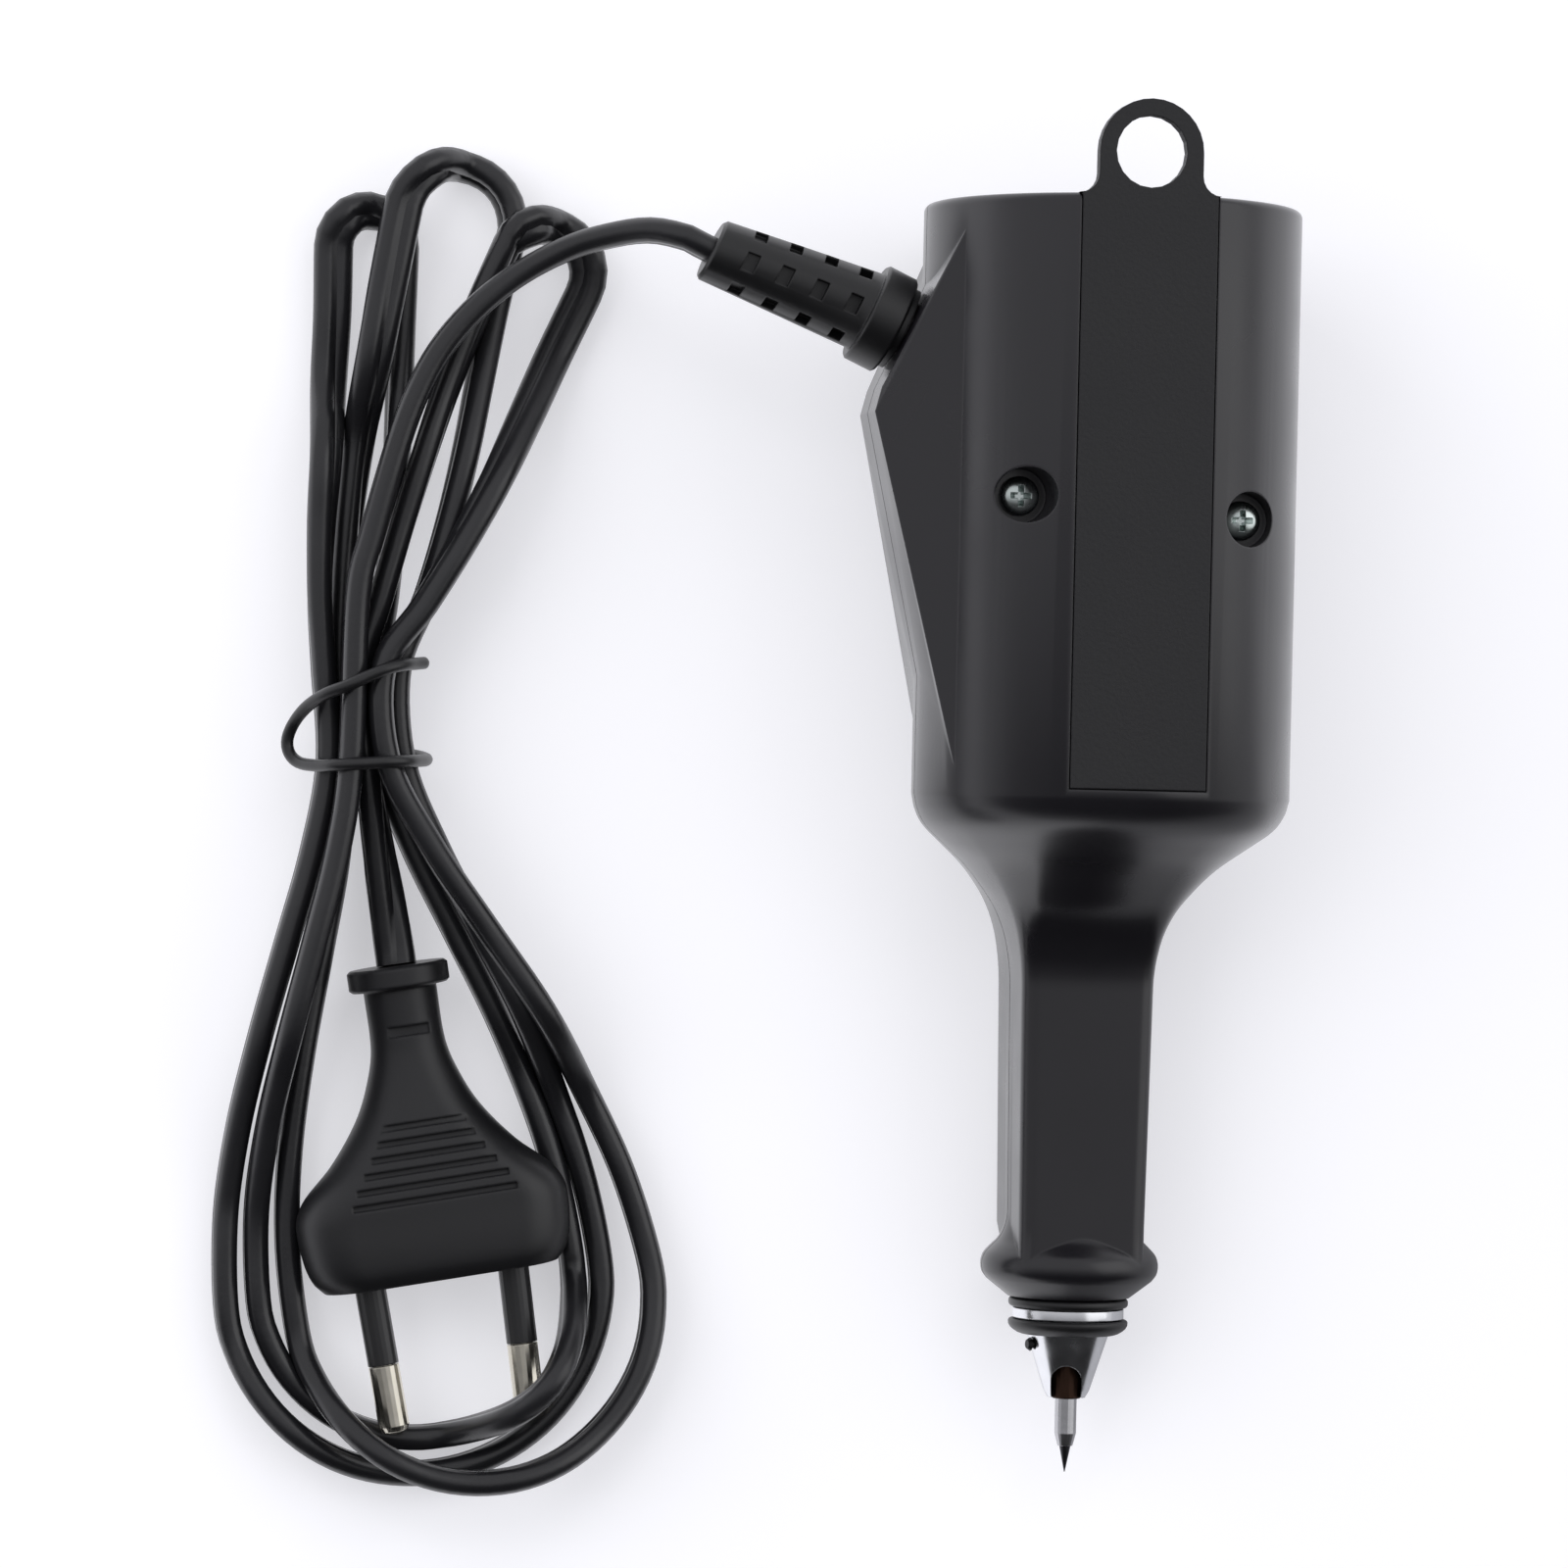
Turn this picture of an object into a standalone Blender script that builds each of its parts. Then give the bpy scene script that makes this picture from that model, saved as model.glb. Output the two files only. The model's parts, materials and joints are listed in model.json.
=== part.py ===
"""Electric engraving pen, lying on its back beside its tied mains lead.

The pen lies along Y: hanging ring at +Y, needle at -Y, label strip facing up, cord boss at -X.
Lengths along the pen are measured from the barrel's end face towards the needle, and named "at".
"""

import math

import bmesh
import bpy
from mathutils import Matrix, Vector

MM = 0.001

# Clearances
FIT_GAP = 0.3 * MM
CLOSE_GAP = 0.15 * MM
OVERRUN = 1.0 * MM

# Barrel
BARREL_RADIUS = 24.1 * MM
BARREL_LENGTH = 75.0 * MM
SHELL_WALL = 2.2 * MM
RIM_ROUND = 1.0 * MM

# Funnel and neck
FUNNEL_LENGTH = 25.0 * MM
NECK_LENGTH = 30.6 * MM
NECK_WIDTH_TOP = 17.2 * MM
NECK_WIDTH_END = 16.4 * MM
NECK_CORNER_RADIUS = 1.9 * MM
NECK_DEPTH_EXTRA = 1.6 * MM
NECK_BORE_RADIUS = 5.2 * MM
FUNNEL_INSET_SHARES = ((0.0, 0.0), (0.08, 0.035), (0.16, 0.115), (0.25, 0.29), (0.36, 0.51), (0.47, 0.68),
                       (0.58, 0.82), (0.7, 0.915), (0.82, 0.965), (1.0, 1.0))
FUNNEL_STEPS = 16

# Flared collar and spigot
COLLAR_RADIUS = 11.5 * MM
COLLAR_LENGTH = 9.1 * MM
COLLAR_FOOT_RADIUS = 7.9 * MM
COLLAR_SHARES = ((-0.25, 0.0), (-0.12, 0.03), (0.0, 0.1), (0.18, 0.34), (0.3, 0.66), (0.39, 0.88), (0.48, 0.98),
                 (0.57, 1.0), (0.67, 0.94), (0.76, 0.76))
FACET_IN_COLLAR_SHARE = 0.48
SPIGOT_RADIUS = 6.2 * MM

# Boss that carries the cord
BOSS_SLOPE_DEG = 25.0
BOSS_START = 4.2 * MM
BOSS_ROOT_HALF = 11.5 * MM
BOSS_EDGE_HALF = 5.5 * MM
BOSS_STAND = 7.1 * MM
BOSS_NOSE_DROP = 0.8 * MM
BOSS_NOSE_LENGTH = 3.1 * MM
BOSS_END_SHARE = 0.8
BOSS_FOOT_HALF = 2.0 * MM

# Label strip and hanging ring
STRIP_WIDTH = 17.2 * MM
STRIP_END_MARGIN = 1.0 * MM
STRIP_THICKNESS = 1.8 * MM
STRIP_PAD = 2.0 * MM
RING_HOLE_RADIUS = 4.5 * MM
RING_RADIUS = 6.6 * MM
RING_RISE = 5.3 * MM
RING_FILLET = 2.4 * MM
PEG_RADIUS = 1.0 * MM
PEG_LENGTH = 1.2 * MM
PEG_SHARES = (0.15, 0.85)

# Housing screws
SCREW_OFFSET_SHARE = 0.5892
SCREW_AT_SHARES = (0.5013, 0.532)
SCREW_HEAD_RADIUS = 2.5 * MM
SCREW_HEAD_HEIGHT = 1.8 * MM
SCREW_SHANK_RADIUS = 1.5 * MM
SCREW_TIP_GAP = 0.3 * MM
COUNTERBORE_RADIUS = 3.5 * MM
COUNTERBORE_DEPTH = 5.87 * MM
COLUMN_RADIUS = 4.2 * MM
CROSS_WIDTH = 0.8 * MM
CROSS_SPAN = 3.0 * MM
CROSS_DEPTH = 0.9 * MM

# Nose rings
RING_OUTER_RADIUS = 7.75 * MM
UPPER_RING_LENGTH = 1.2 * MM
BAND_RADIUS = 7.2 * MM
BAND_LENGTH = 1.3 * MM
LOWER_RING_LENGTH = 1.9 * MM

# Nose cone
CONE_LENGTH = 8.2 * MM
CONE_BASE_RADIUS = 5.3 * MM
CONE_WAIST_RADIUS = 3.0 * MM
CONE_WAIST_SHARE = 0.88
CONE_MOUTH_RADIUS = 2.45 * MM
CONE_SHOULDER_RADIUS = 6.0 * MM
CONE_STEM_LENGTH = 6.0 * MM
CONE_STEM_WALL = 1.5 * MM
CONE_WINDOW_WIDTH = 3.9 * MM
CONE_WINDOW_LENGTH = 4.3 * MM
CONE_WINDOW_TURN_DEG = 12.0
BUSH_RADIUS = 1.95 * MM
BUSH_LENGTH = 4.8 * MM
LOCK_SCREW_RADIUS = 0.9 * MM
LOCK_SCREW_HEIGHT = 0.9 * MM
LOCK_SCREW_SHANK_RADIUS = 0.55 * MM
LOCK_SCREW_BITE = 1.2 * MM
LOCK_SCREW_DROP = 1.3 * MM
LOCK_SCREW_TURN_DEG = 14.0

# Stylus
SHANK_RADIUS = 1.4 * MM
SHANK_SHOWN = 6.3 * MM
SHANK_HELD = 9.0 * MM
SHANK_TAPER_LENGTH = 1.6 * MM
SHANK_END_RADIUS = 0.98 * MM
POINT_RADIUS = 0.74 * MM
POINT_SHOWN = 3.4 * MM
POINT_HELD = 2.0 * MM
POINT_TIP_RADIUS = 0.05 * MM

# Drive rod, its guide, spring and set screw
ROD_RADIUS = 2.5 * MM
ROD_STUD_RADIUS = 1.5 * MM
GUIDE_LENGTH = 6.0 * MM
GUIDE_DEPTH = 1.0 * MM
SPRING_LENGTH = 22.0 * MM
SPRING_COIL_RADIUS = 3.9 * MM
SPRING_WIRE_RADIUS = 0.4 * MM
SPRING_TURNS = 8
SPRING_SEAT_LENGTH = 1.2 * MM
SET_SCREW_RADIUS = 0.7 * MM
SET_SCREW_LENGTH = 0.8 * MM
SET_SCREW_DROP = 4.0 * MM
STROKE = 1.2 * MM

# Electromagnet
CORE_START = 12.0 * MM
CORE_LENGTH_SHARE = 0.56
CORE_YOKE = 8.0 * MM
CORE_OUTER_LEG_SHARE = 0.5634
CORE_CENTRE_LEG_SHARE = 0.6338
CORE_STACK_SHARE = 0.498
CORE_NUT_GAP = 2.42 * MM
BOBBIN_WALL = 0.8 * MM
BOBBIN_FLANGE = 1.2 * MM
BOBBIN_STAND = 6.5 * MM
BOBBIN_END_GAP = 3.5 * MM
WINDING_INSET = 0.8 * MM
AIR_GAP_LEFT = 0.5 * MM
ARMATURE_THICKNESS = 4.0 * MM
HUB_HALF_WIDTH = 5.0 * MM
HUB_BELOW = 4.35 * MM
NUT_ACROSS = 5.5 * MM
NUT_HEIGHT = 2.2 * MM
PAD_RADIUS = 6.0 * MM
PAD_LENGTH = 2.0 * MM
RIB_THICKNESS = 2.0 * MM
RIB_HALF_WIDTH = 12.0 * MM
RIB_HEIGHT = -6.0 * MM
TAB_WIDTH = 2.0 * MM
TAB_THICKNESS = 0.8 * MM
TAB_LENGTH = 5.0 * MM
TAB_SPACING = 5.0 * MM
TAB_RISE = 1.6 * MM
WIRE_RADIUS = 0.7 * MM
WIRE_SPREAD = 1.3 * MM
WIRE_STRAIGHT = 2.0 * MM
WIRE_CLEARANCE = 2.2 * MM
WIRE_STEPS = 20

# Strain relief
RELIEF_AT = 16.4 * MM
RELIEF_FLANGE_RADIUS = 6.5 * MM
RELIEF_FLANGE_LENGTH = 4.2 * MM
RELIEF_GROOVE_RADIUS = 5.4 * MM
RELIEF_GROOVE_LENGTH = 0.9 * MM
RELIEF_NECK_RADIUS = 3.9 * MM
RELIEF_INNER_RADIUS = 5.2 * MM
RELIEF_INNER_LENGTH = 2.0 * MM
RELIEF_SLEEVE_LENGTH = 21.2 * MM
RELIEF_ROOT_RADIUS = 5.25 * MM
RELIEF_TIP_RADIUS = 4.1 * MM
RELIEF_FIRST_SLOT = 4.9 * MM
RELIEF_SLOT_PITCH = 4.65 * MM
RELIEF_SLOT_WIDTH = 1.7 * MM
RELIEF_SLOT_SPAN = 2.4 * MM
RELIEF_SLOT_DEPTH = 1.7 * MM
RELIEF_SLOT_ROWS = 4
RELIEF_SLOTS_ROUND = 6
RELIEF_SLOT_TURN_DEG = 4.0

# Mains lead: a flat twin cord, whose solid is round and about as thick as its mean width
CORD_DIAMETER = 3.6 * MM
LEAD_STEPS = 26
TAIL_STEPS = 9
LEAD_ROUTE_MM = ((-90.7, 31.8, 13.4), (-88.6, 37.6, 13.4), (-86.9, 42.8, 13.4), (-84.4, 49.4, 13.4),
                 (-81.1, 55.7, 13.4), (-76.4, 61.1, 13.4), (-71.0, 65.6, 13.6), (-64.6, 69.1, 15.0),
                 (-58.6, 71.0, 18.2))

# The hank's loops between the ends of its tied waist, from the first that the lead makes
WAIST_TOP_MM = (-89.8, 14.6)
WAIST_END_MM = (-88.9, 2.6)
WAIST_ACROSS = 2.4 * MM
WAIST_UP = 4.6 * MM
PASS_SLOTS = ((-1, 2), (1, 0), (-2, 1), (2, 1), (-1, 0), (1, 2), (0, 1))
LOOP_END_MM = ((-78.2, -84.3), (-91.7, 76.8), (-77.8, -88.9), (-78.3, 79.2), (-66.7, -88.2), (-65.7, 75.2))
LOOP_HALF_WIDTH_MM = (20.9, 5.5, 25.4, 7.5, 24.0, 8.3)
LOOP_HEIGHTS_MM = ((2.7, 1.9, 2.0, 14.8, 1.9), (2.7, 1.9, 2.6, 4.6, 3.5), (2.0, 5.1, 2.1, 2.5, 2.6),
                   (3.7, 3.4, 2.7, 8.3, 8.3), (2.6, 12.6, 11.7, 7.3, 4.4), (3.1, 3.8, 3.3, 8.3, 7.5))
LEG_STEPS = 6
BEND_STEPS = 12
LEG_OUT_SHARES = (0.397, 0.906)
LEG_BACK_SHARES = (0.483, 0.702)
SPREAD_SHARE = 0.9
GAP_STEPS = 5
LEAST_GAP = 0.4 * MM

# Twist tie
TIE_RADIUS = 0.9 * MM
TIE_START_AT = 1.4 * MM
TIE_BACK_AT = 10.4 * MM
TIE_TAIL = 3.0 * MM
TIE_SIDE_BOW = 4.2 * MM
TIE_BEND_STEPS = 3
TIE_STEPS = 48

# Plug, measured from its disc's top
DISC_PLACE_MM = (-84.2, -23.3)
PLUG_TURN_DEG = 9.6
PLUG_HALF_DEPTH = 6.85 * MM
DISC_HALF_WIDTH = 6.5 * MM
DISC_HALF_DEPTH = 6.0 * MM
DISC_LENGTH = 3.0 * MM
PLUG_LENGTH = 40.3 * MM
PLUG_HALF_WIDTH = 17.6 * MM
PLUG_SHARES = ((0.074, 0.267, 0.66), (0.25, 0.273, 0.66), (0.35, 0.33, 0.72), (0.47, 0.455, 0.82), (0.6, 0.68, 0.92),
               (0.69, 0.9, 0.98), (0.74, 0.975, 1.0), (0.79, 1.0, 1.0), (0.9, 0.98, 1.0), (0.965, 0.93, 0.96),
               (1.0, 0.86, 0.86))
PLUG_SIDE_STEPS = 8
GRIP_COUNT = 6
GRIP_AT = 20.2 * MM
GRIP_PITCH = 1.9 * MM
GRIP_WIDTH = 0.9 * MM
GRIP_DEPTH = 0.6 * MM
GRIP_SPAN_SHARE = 0.62
NOTCH_AT = 8.3 * MM
NOTCH_LENGTH = 1.3 * MM
NOTCH_HALF_WIDTH = 2.6 * MM
NOTCH_DEPTH = 1.0 * MM
PIN_OFFSET = 9.3 * MM
PIN_LEAN_DEG = 1.6
PIN_SEAT = 4.0 * MM
PIN_CORE_RADIUS = 1.5 * MM
PIN_RADIUS = 2.0 * MM
SLEEVE_LENGTH = 10.0 * MM
PIN_BARE_LENGTH = 9.0 * MM
PIN_TIP_ROUND = 1.0 * MM

ROUND_SIDES = 32
SMALL_SIDES = 20
QUADRANT_STEPS = 12

# Places that follow from the sizes
NECK_DROP = BARREL_RADIUS - COLLAR_RADIUS
FUNNEL_END = BARREL_LENGTH + FUNNEL_LENGTH
NECK_END = FUNNEL_END + NECK_LENGTH
COLLAR_END = NECK_END + COLLAR_LENGTH
UPPER_RING_AT = COLLAR_END + CLOSE_GAP
BAND_AT = UPPER_RING_AT + UPPER_RING_LENGTH + CLOSE_GAP
LOWER_RING_AT = BAND_AT + BAND_LENGTH + CLOSE_GAP
SPIGOT_END = LOWER_RING_AT - CLOSE_GAP
CONE_AT = LOWER_RING_AT + LOWER_RING_LENGTH
CONE_END = CONE_AT + CONE_LENGTH
SHANK_END = CONE_END + SHANK_SHOWN
POINT_END = SHANK_END + POINT_SHOWN
STEM_RADIUS = NECK_BORE_RADIUS - FIT_GAP
STEM_BORE_RADIUS = STEM_RADIUS - CONE_STEM_WALL
ROD_END = CONE_AT
STRIP_TOP = math.sqrt(BARREL_RADIUS ** 2 - (STRIP_WIDTH / 2) ** 2)
STRIP_BOTTOM = STRIP_TOP - STRIP_THICKNESS
STRIP_LENGTH = BARREL_LENGTH - STRIP_END_MARGIN
BOSS_REACH = BARREL_RADIUS + BOSS_STAND
BOSS_END = BOSS_END_SHARE * BARREL_LENGTH
SCREW_OFFSET = SCREW_OFFSET_SHARE * BARREL_RADIUS
COUNTERBORE_FLOOR = math.sqrt(BARREL_RADIUS ** 2 - SCREW_OFFSET ** 2) - COUNTERBORE_DEPTH
CORE_OUTER_LEG = CORE_OUTER_LEG_SHARE * SCREW_OFFSET
CORE_CENTRE_LEG = CORE_CENTRE_LEG_SHARE * SCREW_OFFSET
CORE_HALF_WIDTH = SCREW_OFFSET + CORE_OUTER_LEG / 2
CORE_END = CORE_START + CORE_LENGTH_SHARE * BARREL_LENGTH
CORE_STACK = CORE_STACK_SHARE * BARREL_RADIUS
CORE_LOW = NUT_ACROSS / math.sqrt(3) + CORE_NUT_GAP - NECK_DROP
CORE_HEIGHT = CORE_LOW + CORE_STACK / 2
CORE_HIGH = CORE_LOW + CORE_STACK
BOBBIN_DEPTH = CORE_STACK / 2 + BOBBIN_STAND
SCREW_TIP = SCREW_TIP_GAP - math.sqrt((BARREL_RADIUS - SHELL_WALL) ** 2 - (SCREW_OFFSET + SCREW_SHANK_RADIUS) ** 2)
ARMATURE_AT = CORE_END + STROKE + AIR_GAP_LEFT
ARMATURE_END = ARMATURE_AT + ARMATURE_THICKNESS
PAD_AT = ARMATURE_END + FIT_GAP
RIB_AT = PAD_AT + PAD_LENGTH + FIT_GAP
GUIDE_AT = FUNNEL_END - GUIDE_DEPTH
SPRING_AT = GUIDE_AT + GUIDE_LENGTH + FIT_GAP
SPRING_SEAT_AT = SPRING_AT + SPRING_LENGTH + FIT_GAP
BOSS_SLOPE = math.radians(BOSS_SLOPE_DEG)

# The row's origin is under the middle of the pen's box, on the surface that it lies on.
PEN_TOP = RING_RISE + RING_RADIUS
PLACE = Vector(((BOSS_REACH - BARREL_RADIUS) / 2, (POINT_END - PEN_TOP) / 2, BARREL_RADIUS))


def clear_scene():
    for item in list(bpy.data.objects):
        bpy.data.objects.remove(item, do_unlink=True)


def finish(name, colour, roughness, metallic=0.0):
    made = bpy.data.materials.new(name)
    made.use_nodes = True
    shader = made.node_tree.nodes["Principled BSDF"]
    shader.inputs["Base Color"].default_value = (*colour, 1.0)
    shader.inputs["Roughness"].default_value = roughness
    shader.inputs["Metallic"].default_value = metallic
    return made


def empty(name, location, parent=None):
    item = bpy.data.objects.new(name, None)
    item.location = location
    item.parent = parent
    bpy.context.scene.collection.objects.link(item)
    return item


def add(name, bm, material, parent, location=(0, 0, 0), turn=None, smooth_deg=35.0):
    """Makes a bmesh an object, with smooth faces and sharp edges past smooth_deg."""
    bmesh.ops.recalc_face_normals(bm, faces=bm.faces)
    mesh = bpy.data.meshes.new(name)
    bm.to_mesh(mesh)
    bm.free()
    mesh.materials.append(material)
    mesh.shade_smooth()
    mesh.set_sharp_from_angle(angle=math.radians(smooth_deg))
    item = bpy.data.objects.new(name, mesh)
    bpy.context.scene.collection.objects.link(item)
    item.parent = parent
    item.location = location
    if turn is not None:
        item.rotation_euler = turn
    return item


def tool(name, bm, parent, location=(0, 0, 0), turn=None):
    """A solid that only cuts or joins another one."""
    item = add(name, bm, TOOL, parent, location, turn)
    item.hide_render = True
    item.display_type = "WIRE"
    return item


def combine(item, other, operation):
    modifier = item.modifiers.new(other.name, "BOOLEAN")
    modifier.object = other
    modifier.operation = operation
    modifier.solver = "EXACT"


def turned(profile, sides=ROUND_SIDES, hollow=False):
    """Turns a profile of (at, radius) about the Y axis. A hollow profile is a closed loop."""
    bm = bmesh.new()
    rings = []
    for at, radius in profile:
        if radius == 0:
            rings.append([bm.verts.new((0, -at, 0))])
            continue
        angles = [2 * math.pi * i / sides for i in range(sides)]
        rings.append([bm.verts.new((radius * math.sin(a), -at, radius * math.cos(a))) for a in angles])
    pairs = list(zip(rings, rings[1:]))
    if hollow:
        pairs.append((rings[-1], rings[0]))
    for first, second in pairs:
        for i in range(sides):
            corners = [first[i % len(first)], first[(i + 1) % len(first)]]
            corners += [second[(i + 1) % len(second)], second[i % len(second)]]
            bm.faces.new(list(dict.fromkeys(corners)))
    if not hollow:
        for ring in (rings[0], rings[-1]):
            if len(ring) > 1:
                bm.faces.new(ring)
    return bm


def tube(start, end, outer, inner, sides=ROUND_SIDES):
    return turned([(start, inner), (start, outer), (end, outer), (end, inner)], sides, hollow=True)


def loft(rings):
    """Joins rings of points, one to the next, and closes both ends."""
    bm = bmesh.new()
    made = [[bm.verts.new(point) for point in ring] for ring in rings]
    count = len(made[0])
    for first, second in zip(made, made[1:]):
        for i in range(count):
            j = (i + 1) % count
            bm.faces.new((first[i], first[j], second[j], second[i]))
    bm.faces.new(made[0])
    bm.faces.new(made[-1])
    return bm


def box(low, high):
    bm = bmesh.new()
    bmesh.ops.create_cube(bm, size=1.0)
    low, high = Vector(low), Vector(high)
    for vertex in bm.verts:
        for axis in range(3):
            vertex.co[axis] = high[axis] if vertex.co[axis] > 0 else low[axis]
    return bm


def prism(outline, low, high, axis=2):
    """Extrudes an outline. With axis 2 it holds (x, y) and runs along Z, with axis 0 (y, z) along X."""
    def place(point, height):
        return (*point, height) if axis == 2 else (height, *point)
    return loft([[place(point, low) for point in outline], [place(point, high) for point in outline]])


def hull(points):
    bm = bmesh.new()
    vertices = [bm.verts.new(point) for point in points]
    made = bmesh.ops.convex_hull(bm, input=vertices)
    unused = {item for item in made["geom_interior"] + made["geom_unused"] if isinstance(item, bmesh.types.BMVert)}
    bmesh.ops.delete(bm, geom=list(unused), context="VERTS")
    bmesh.ops.dissolve_limit(bm, angle_limit=math.radians(0.5), verts=bm.verts, edges=bm.edges)
    return bm


def arc(centre, radius, start_deg, end_deg, steps):
    angles = [math.radians(start_deg + (end_deg - start_deg) * i / steps) for i in range(steps + 1)]
    return [(centre[0] + radius * math.cos(a), centre[1] + radius * math.sin(a)) for a in angles]


def share_at(shares, u):
    """Reads a table of (place, share) as one smooth curve."""
    last = len(shares) - 1
    i = min(max(sum(1 for place, _ in shares if place <= u) - 1, 0), last - 1)

    def slope(k):
        low, high = max(k - 1, 0), min(k + 1, last)
        return (shares[high][1] - shares[low][1]) / (shares[high][0] - shares[low][0])

    span = shares[i + 1][0] - shares[i][0]
    w = min(max((u - shares[i][0]) / span, 0.0), 1.0)
    start, end = shares[i][1], shares[i + 1][1]
    rise_in, rise_out = slope(i) * span, slope(i + 1) * span
    return ((2 * w ** 3 - 3 * w ** 2 + 1) * start + (w ** 3 - 2 * w ** 2 + w) * rise_in
            + (3 * w ** 2 - 2 * w ** 3) * end + (w ** 3 - w ** 2) * rise_out)


def round_ring(radius, y, height=0.0):
    count = 4 * QUADRANT_STEPS
    angles = [2 * math.pi * i / count for i in range(count)]
    return [Vector((radius * math.sin(a), y, height + radius * math.cos(a))) for a in angles]


def neck_ring(width, at):
    """The neck's outline: a rectangle with round corners, with as many points as a round ring has."""
    straight, bend = QUADRANT_STEPS // 3, QUADRANT_STEPS - 2 * (QUADRANT_STEPS // 3)
    half, corner = width / 2, NECK_CORNER_RADIUS
    core = half - corner
    quarter = [(core * i / straight, half) for i in range(straight)]
    quarter += [(core + corner * math.sin(math.pi / 2 * i / bend), core + corner * math.cos(math.pi / 2 * i / bend))
                for i in range(bend)]
    quarter += [(half, core - core * i / straight) for i in range(straight)]
    points = []
    for turn in range(4):
        for x, z in quarter:
            for _ in range(turn):
                x, z = z, -x
            stretch = math.copysign(min(abs(z) / core, 1) * NECK_DEPTH_EXTRA / 2, z)
            points.append(Vector((x, -at, z + stretch - NECK_DROP)))
    return points


def blend(first, second, share):
    return [a.lerp(b, share) for a, b in zip(first, second)]


def funnel_share(at):
    return share_at(FUNNEL_INSET_SHARES, (at - BARREL_LENGTH) / FUNNEL_LENGTH)


def funnel_places():
    return [BARREL_LENGTH + FUNNEL_LENGTH * i / FUNNEL_STEPS for i in range(FUNNEL_STEPS + 1)]


# The housing: one form outside, one hollow inside, parted along its widest line
def housing_form(upper):
    """The front's flat facet runs on into the collar, while the rear's ends where the collar starts."""
    rings = [round_ring(BARREL_RADIUS - RIM_ROUND * (1 - math.sin(math.radians(a))),
                        -RIM_ROUND * (1 - math.cos(math.radians(a)))) for a in (0, 30, 60, 90)]
    for at in funnel_places():
        rings.append(blend(round_ring(BARREL_RADIUS, -at), neck_ring(NECK_WIDTH_TOP, at), funnel_share(at)))
    reach = FACET_IN_COLLAR_SHARE * COLLAR_LENGTH if upper else OVERRUN
    rings += [neck_ring(NECK_WIDTH_END, NECK_END), neck_ring(NECK_WIDTH_END, NECK_END + reach)]
    return loft(rings)


def housing_hollow():
    inner = BARREL_RADIUS - SHELL_WALL
    rings = [round_ring(inner, -SHELL_WALL)]
    for at in funnel_places():
        bore = round_ring(NECK_BORE_RADIUS, -at, -NECK_DROP)
        share = funnel_share(min(at + SHELL_WALL, FUNNEL_END))
        rings.append(blend(round_ring(inner, -at), bore, share))
    rings.append(round_ring(NECK_BORE_RADIUS, -SPIGOT_END - OVERRUN, -NECK_DROP))
    return loft(rings)


def collar_form():
    root = NECK_WIDTH_END / 2
    profile = [(NECK_END + COLLAR_SHARES[0][0] * COLLAR_LENGTH, 0)]
    for place, share in COLLAR_SHARES:
        profile.append((NECK_END + place * COLLAR_LENGTH, root + share * (COLLAR_RADIUS - root)))
    profile += [(COLLAR_END, COLLAR_FOOT_RADIUS), (COLLAR_END, SPIGOT_RADIUS), (SPIGOT_END, SPIGOT_RADIUS)]
    profile.append((SPIGOT_END, 0))
    return turned(profile, 4 * QUADRANT_STEPS)


def boss_form(inset):
    """The wedge that the cord comes out of. The inset gives its hollow."""
    across, along = math.cos(BOSS_SLOPE), math.sin(BOSS_SLOPE)
    nose = BOSS_REACH - BOSS_NOSE_DROP
    root = math.sqrt(BARREL_RADIUS ** 2 - BOSS_ROOT_HALF ** 2)
    edge_at = BOSS_START + (nose - root) / math.tan(BOSS_SLOPE)
    corners = [(-root + inset * across, BOSS_START + inset * along, BOSS_ROOT_HALF - inset),
               (-nose + inset * across, edge_at + inset * along, BOSS_EDGE_HALF - inset * across),
               (-BOSS_REACH + inset, edge_at + BOSS_NOSE_LENGTH, BOSS_EDGE_HALF - inset * across),
               (-BARREL_RADIUS + inset, BOSS_END - inset, BOSS_FOOT_HALF),
               (-root + inset, BOSS_END + BOSS_ROOT_HALF - inset, BOSS_ROOT_HALF - inset),
               (-BARREL_RADIUS / 2, BOSS_START + inset * along, BOSS_ROOT_HALF - inset),
               (-BARREL_RADIUS / 2, BOSS_END, BOSS_ROOT_HALF - inset)]
    return hull([(x, -at, side * half) for x, at, half in corners for side in (-1, 1)])


def parting(name, lift, upper):
    """Everything above, or below, the line where the shells meet, moved by lift."""
    far = 2 * BARREL_RADIUS
    line = [(OVERRUN + far, lift)]
    line += [(-at, lift - NECK_DROP * funnel_share(at)) for at in funnel_places()]
    line.append((-SPIGOT_END - far, lift - NECK_DROP))
    edge = far if upper else -far
    line += [(-SPIGOT_END - far, edge), (OVERRUN + far, edge)]
    return tool(name, prism(line, -far, far, axis=0), PEN)


def column(name, x, at, low, high, radius):
    """A round post or hole along Z."""
    angles = [2 * math.pi * i / SMALL_SIDES for i in range(SMALL_SIDES)]
    outline = [(x + radius * math.cos(a), -at + radius * math.sin(a)) for a in angles]
    return tool(name, prism(outline, low, high), PEN)


def screw_post(name, x, at, low, high):
    """A post that ends inside the barrel's wall, whose curve its foot follows."""
    post = column(name, x, at, low, high, COLUMN_RADIUS)
    middle = BARREL_RADIUS - SHELL_WALL / 2
    reach = tool(f"{name}_reach", turned([(0, 0), (0, middle), (BARREL_LENGTH, middle), (BARREL_LENGTH, 0)],
                                         4 * QUADRANT_STEPS), PEN)
    combine(post, reach, "INTERSECT")
    return post


def screw_places():
    left_at, right_at = (share * BARREL_LENGTH for share in SCREW_AT_SHARES)
    return (("left", -SCREW_OFFSET, left_at), ("right", SCREW_OFFSET, right_at))


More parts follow.
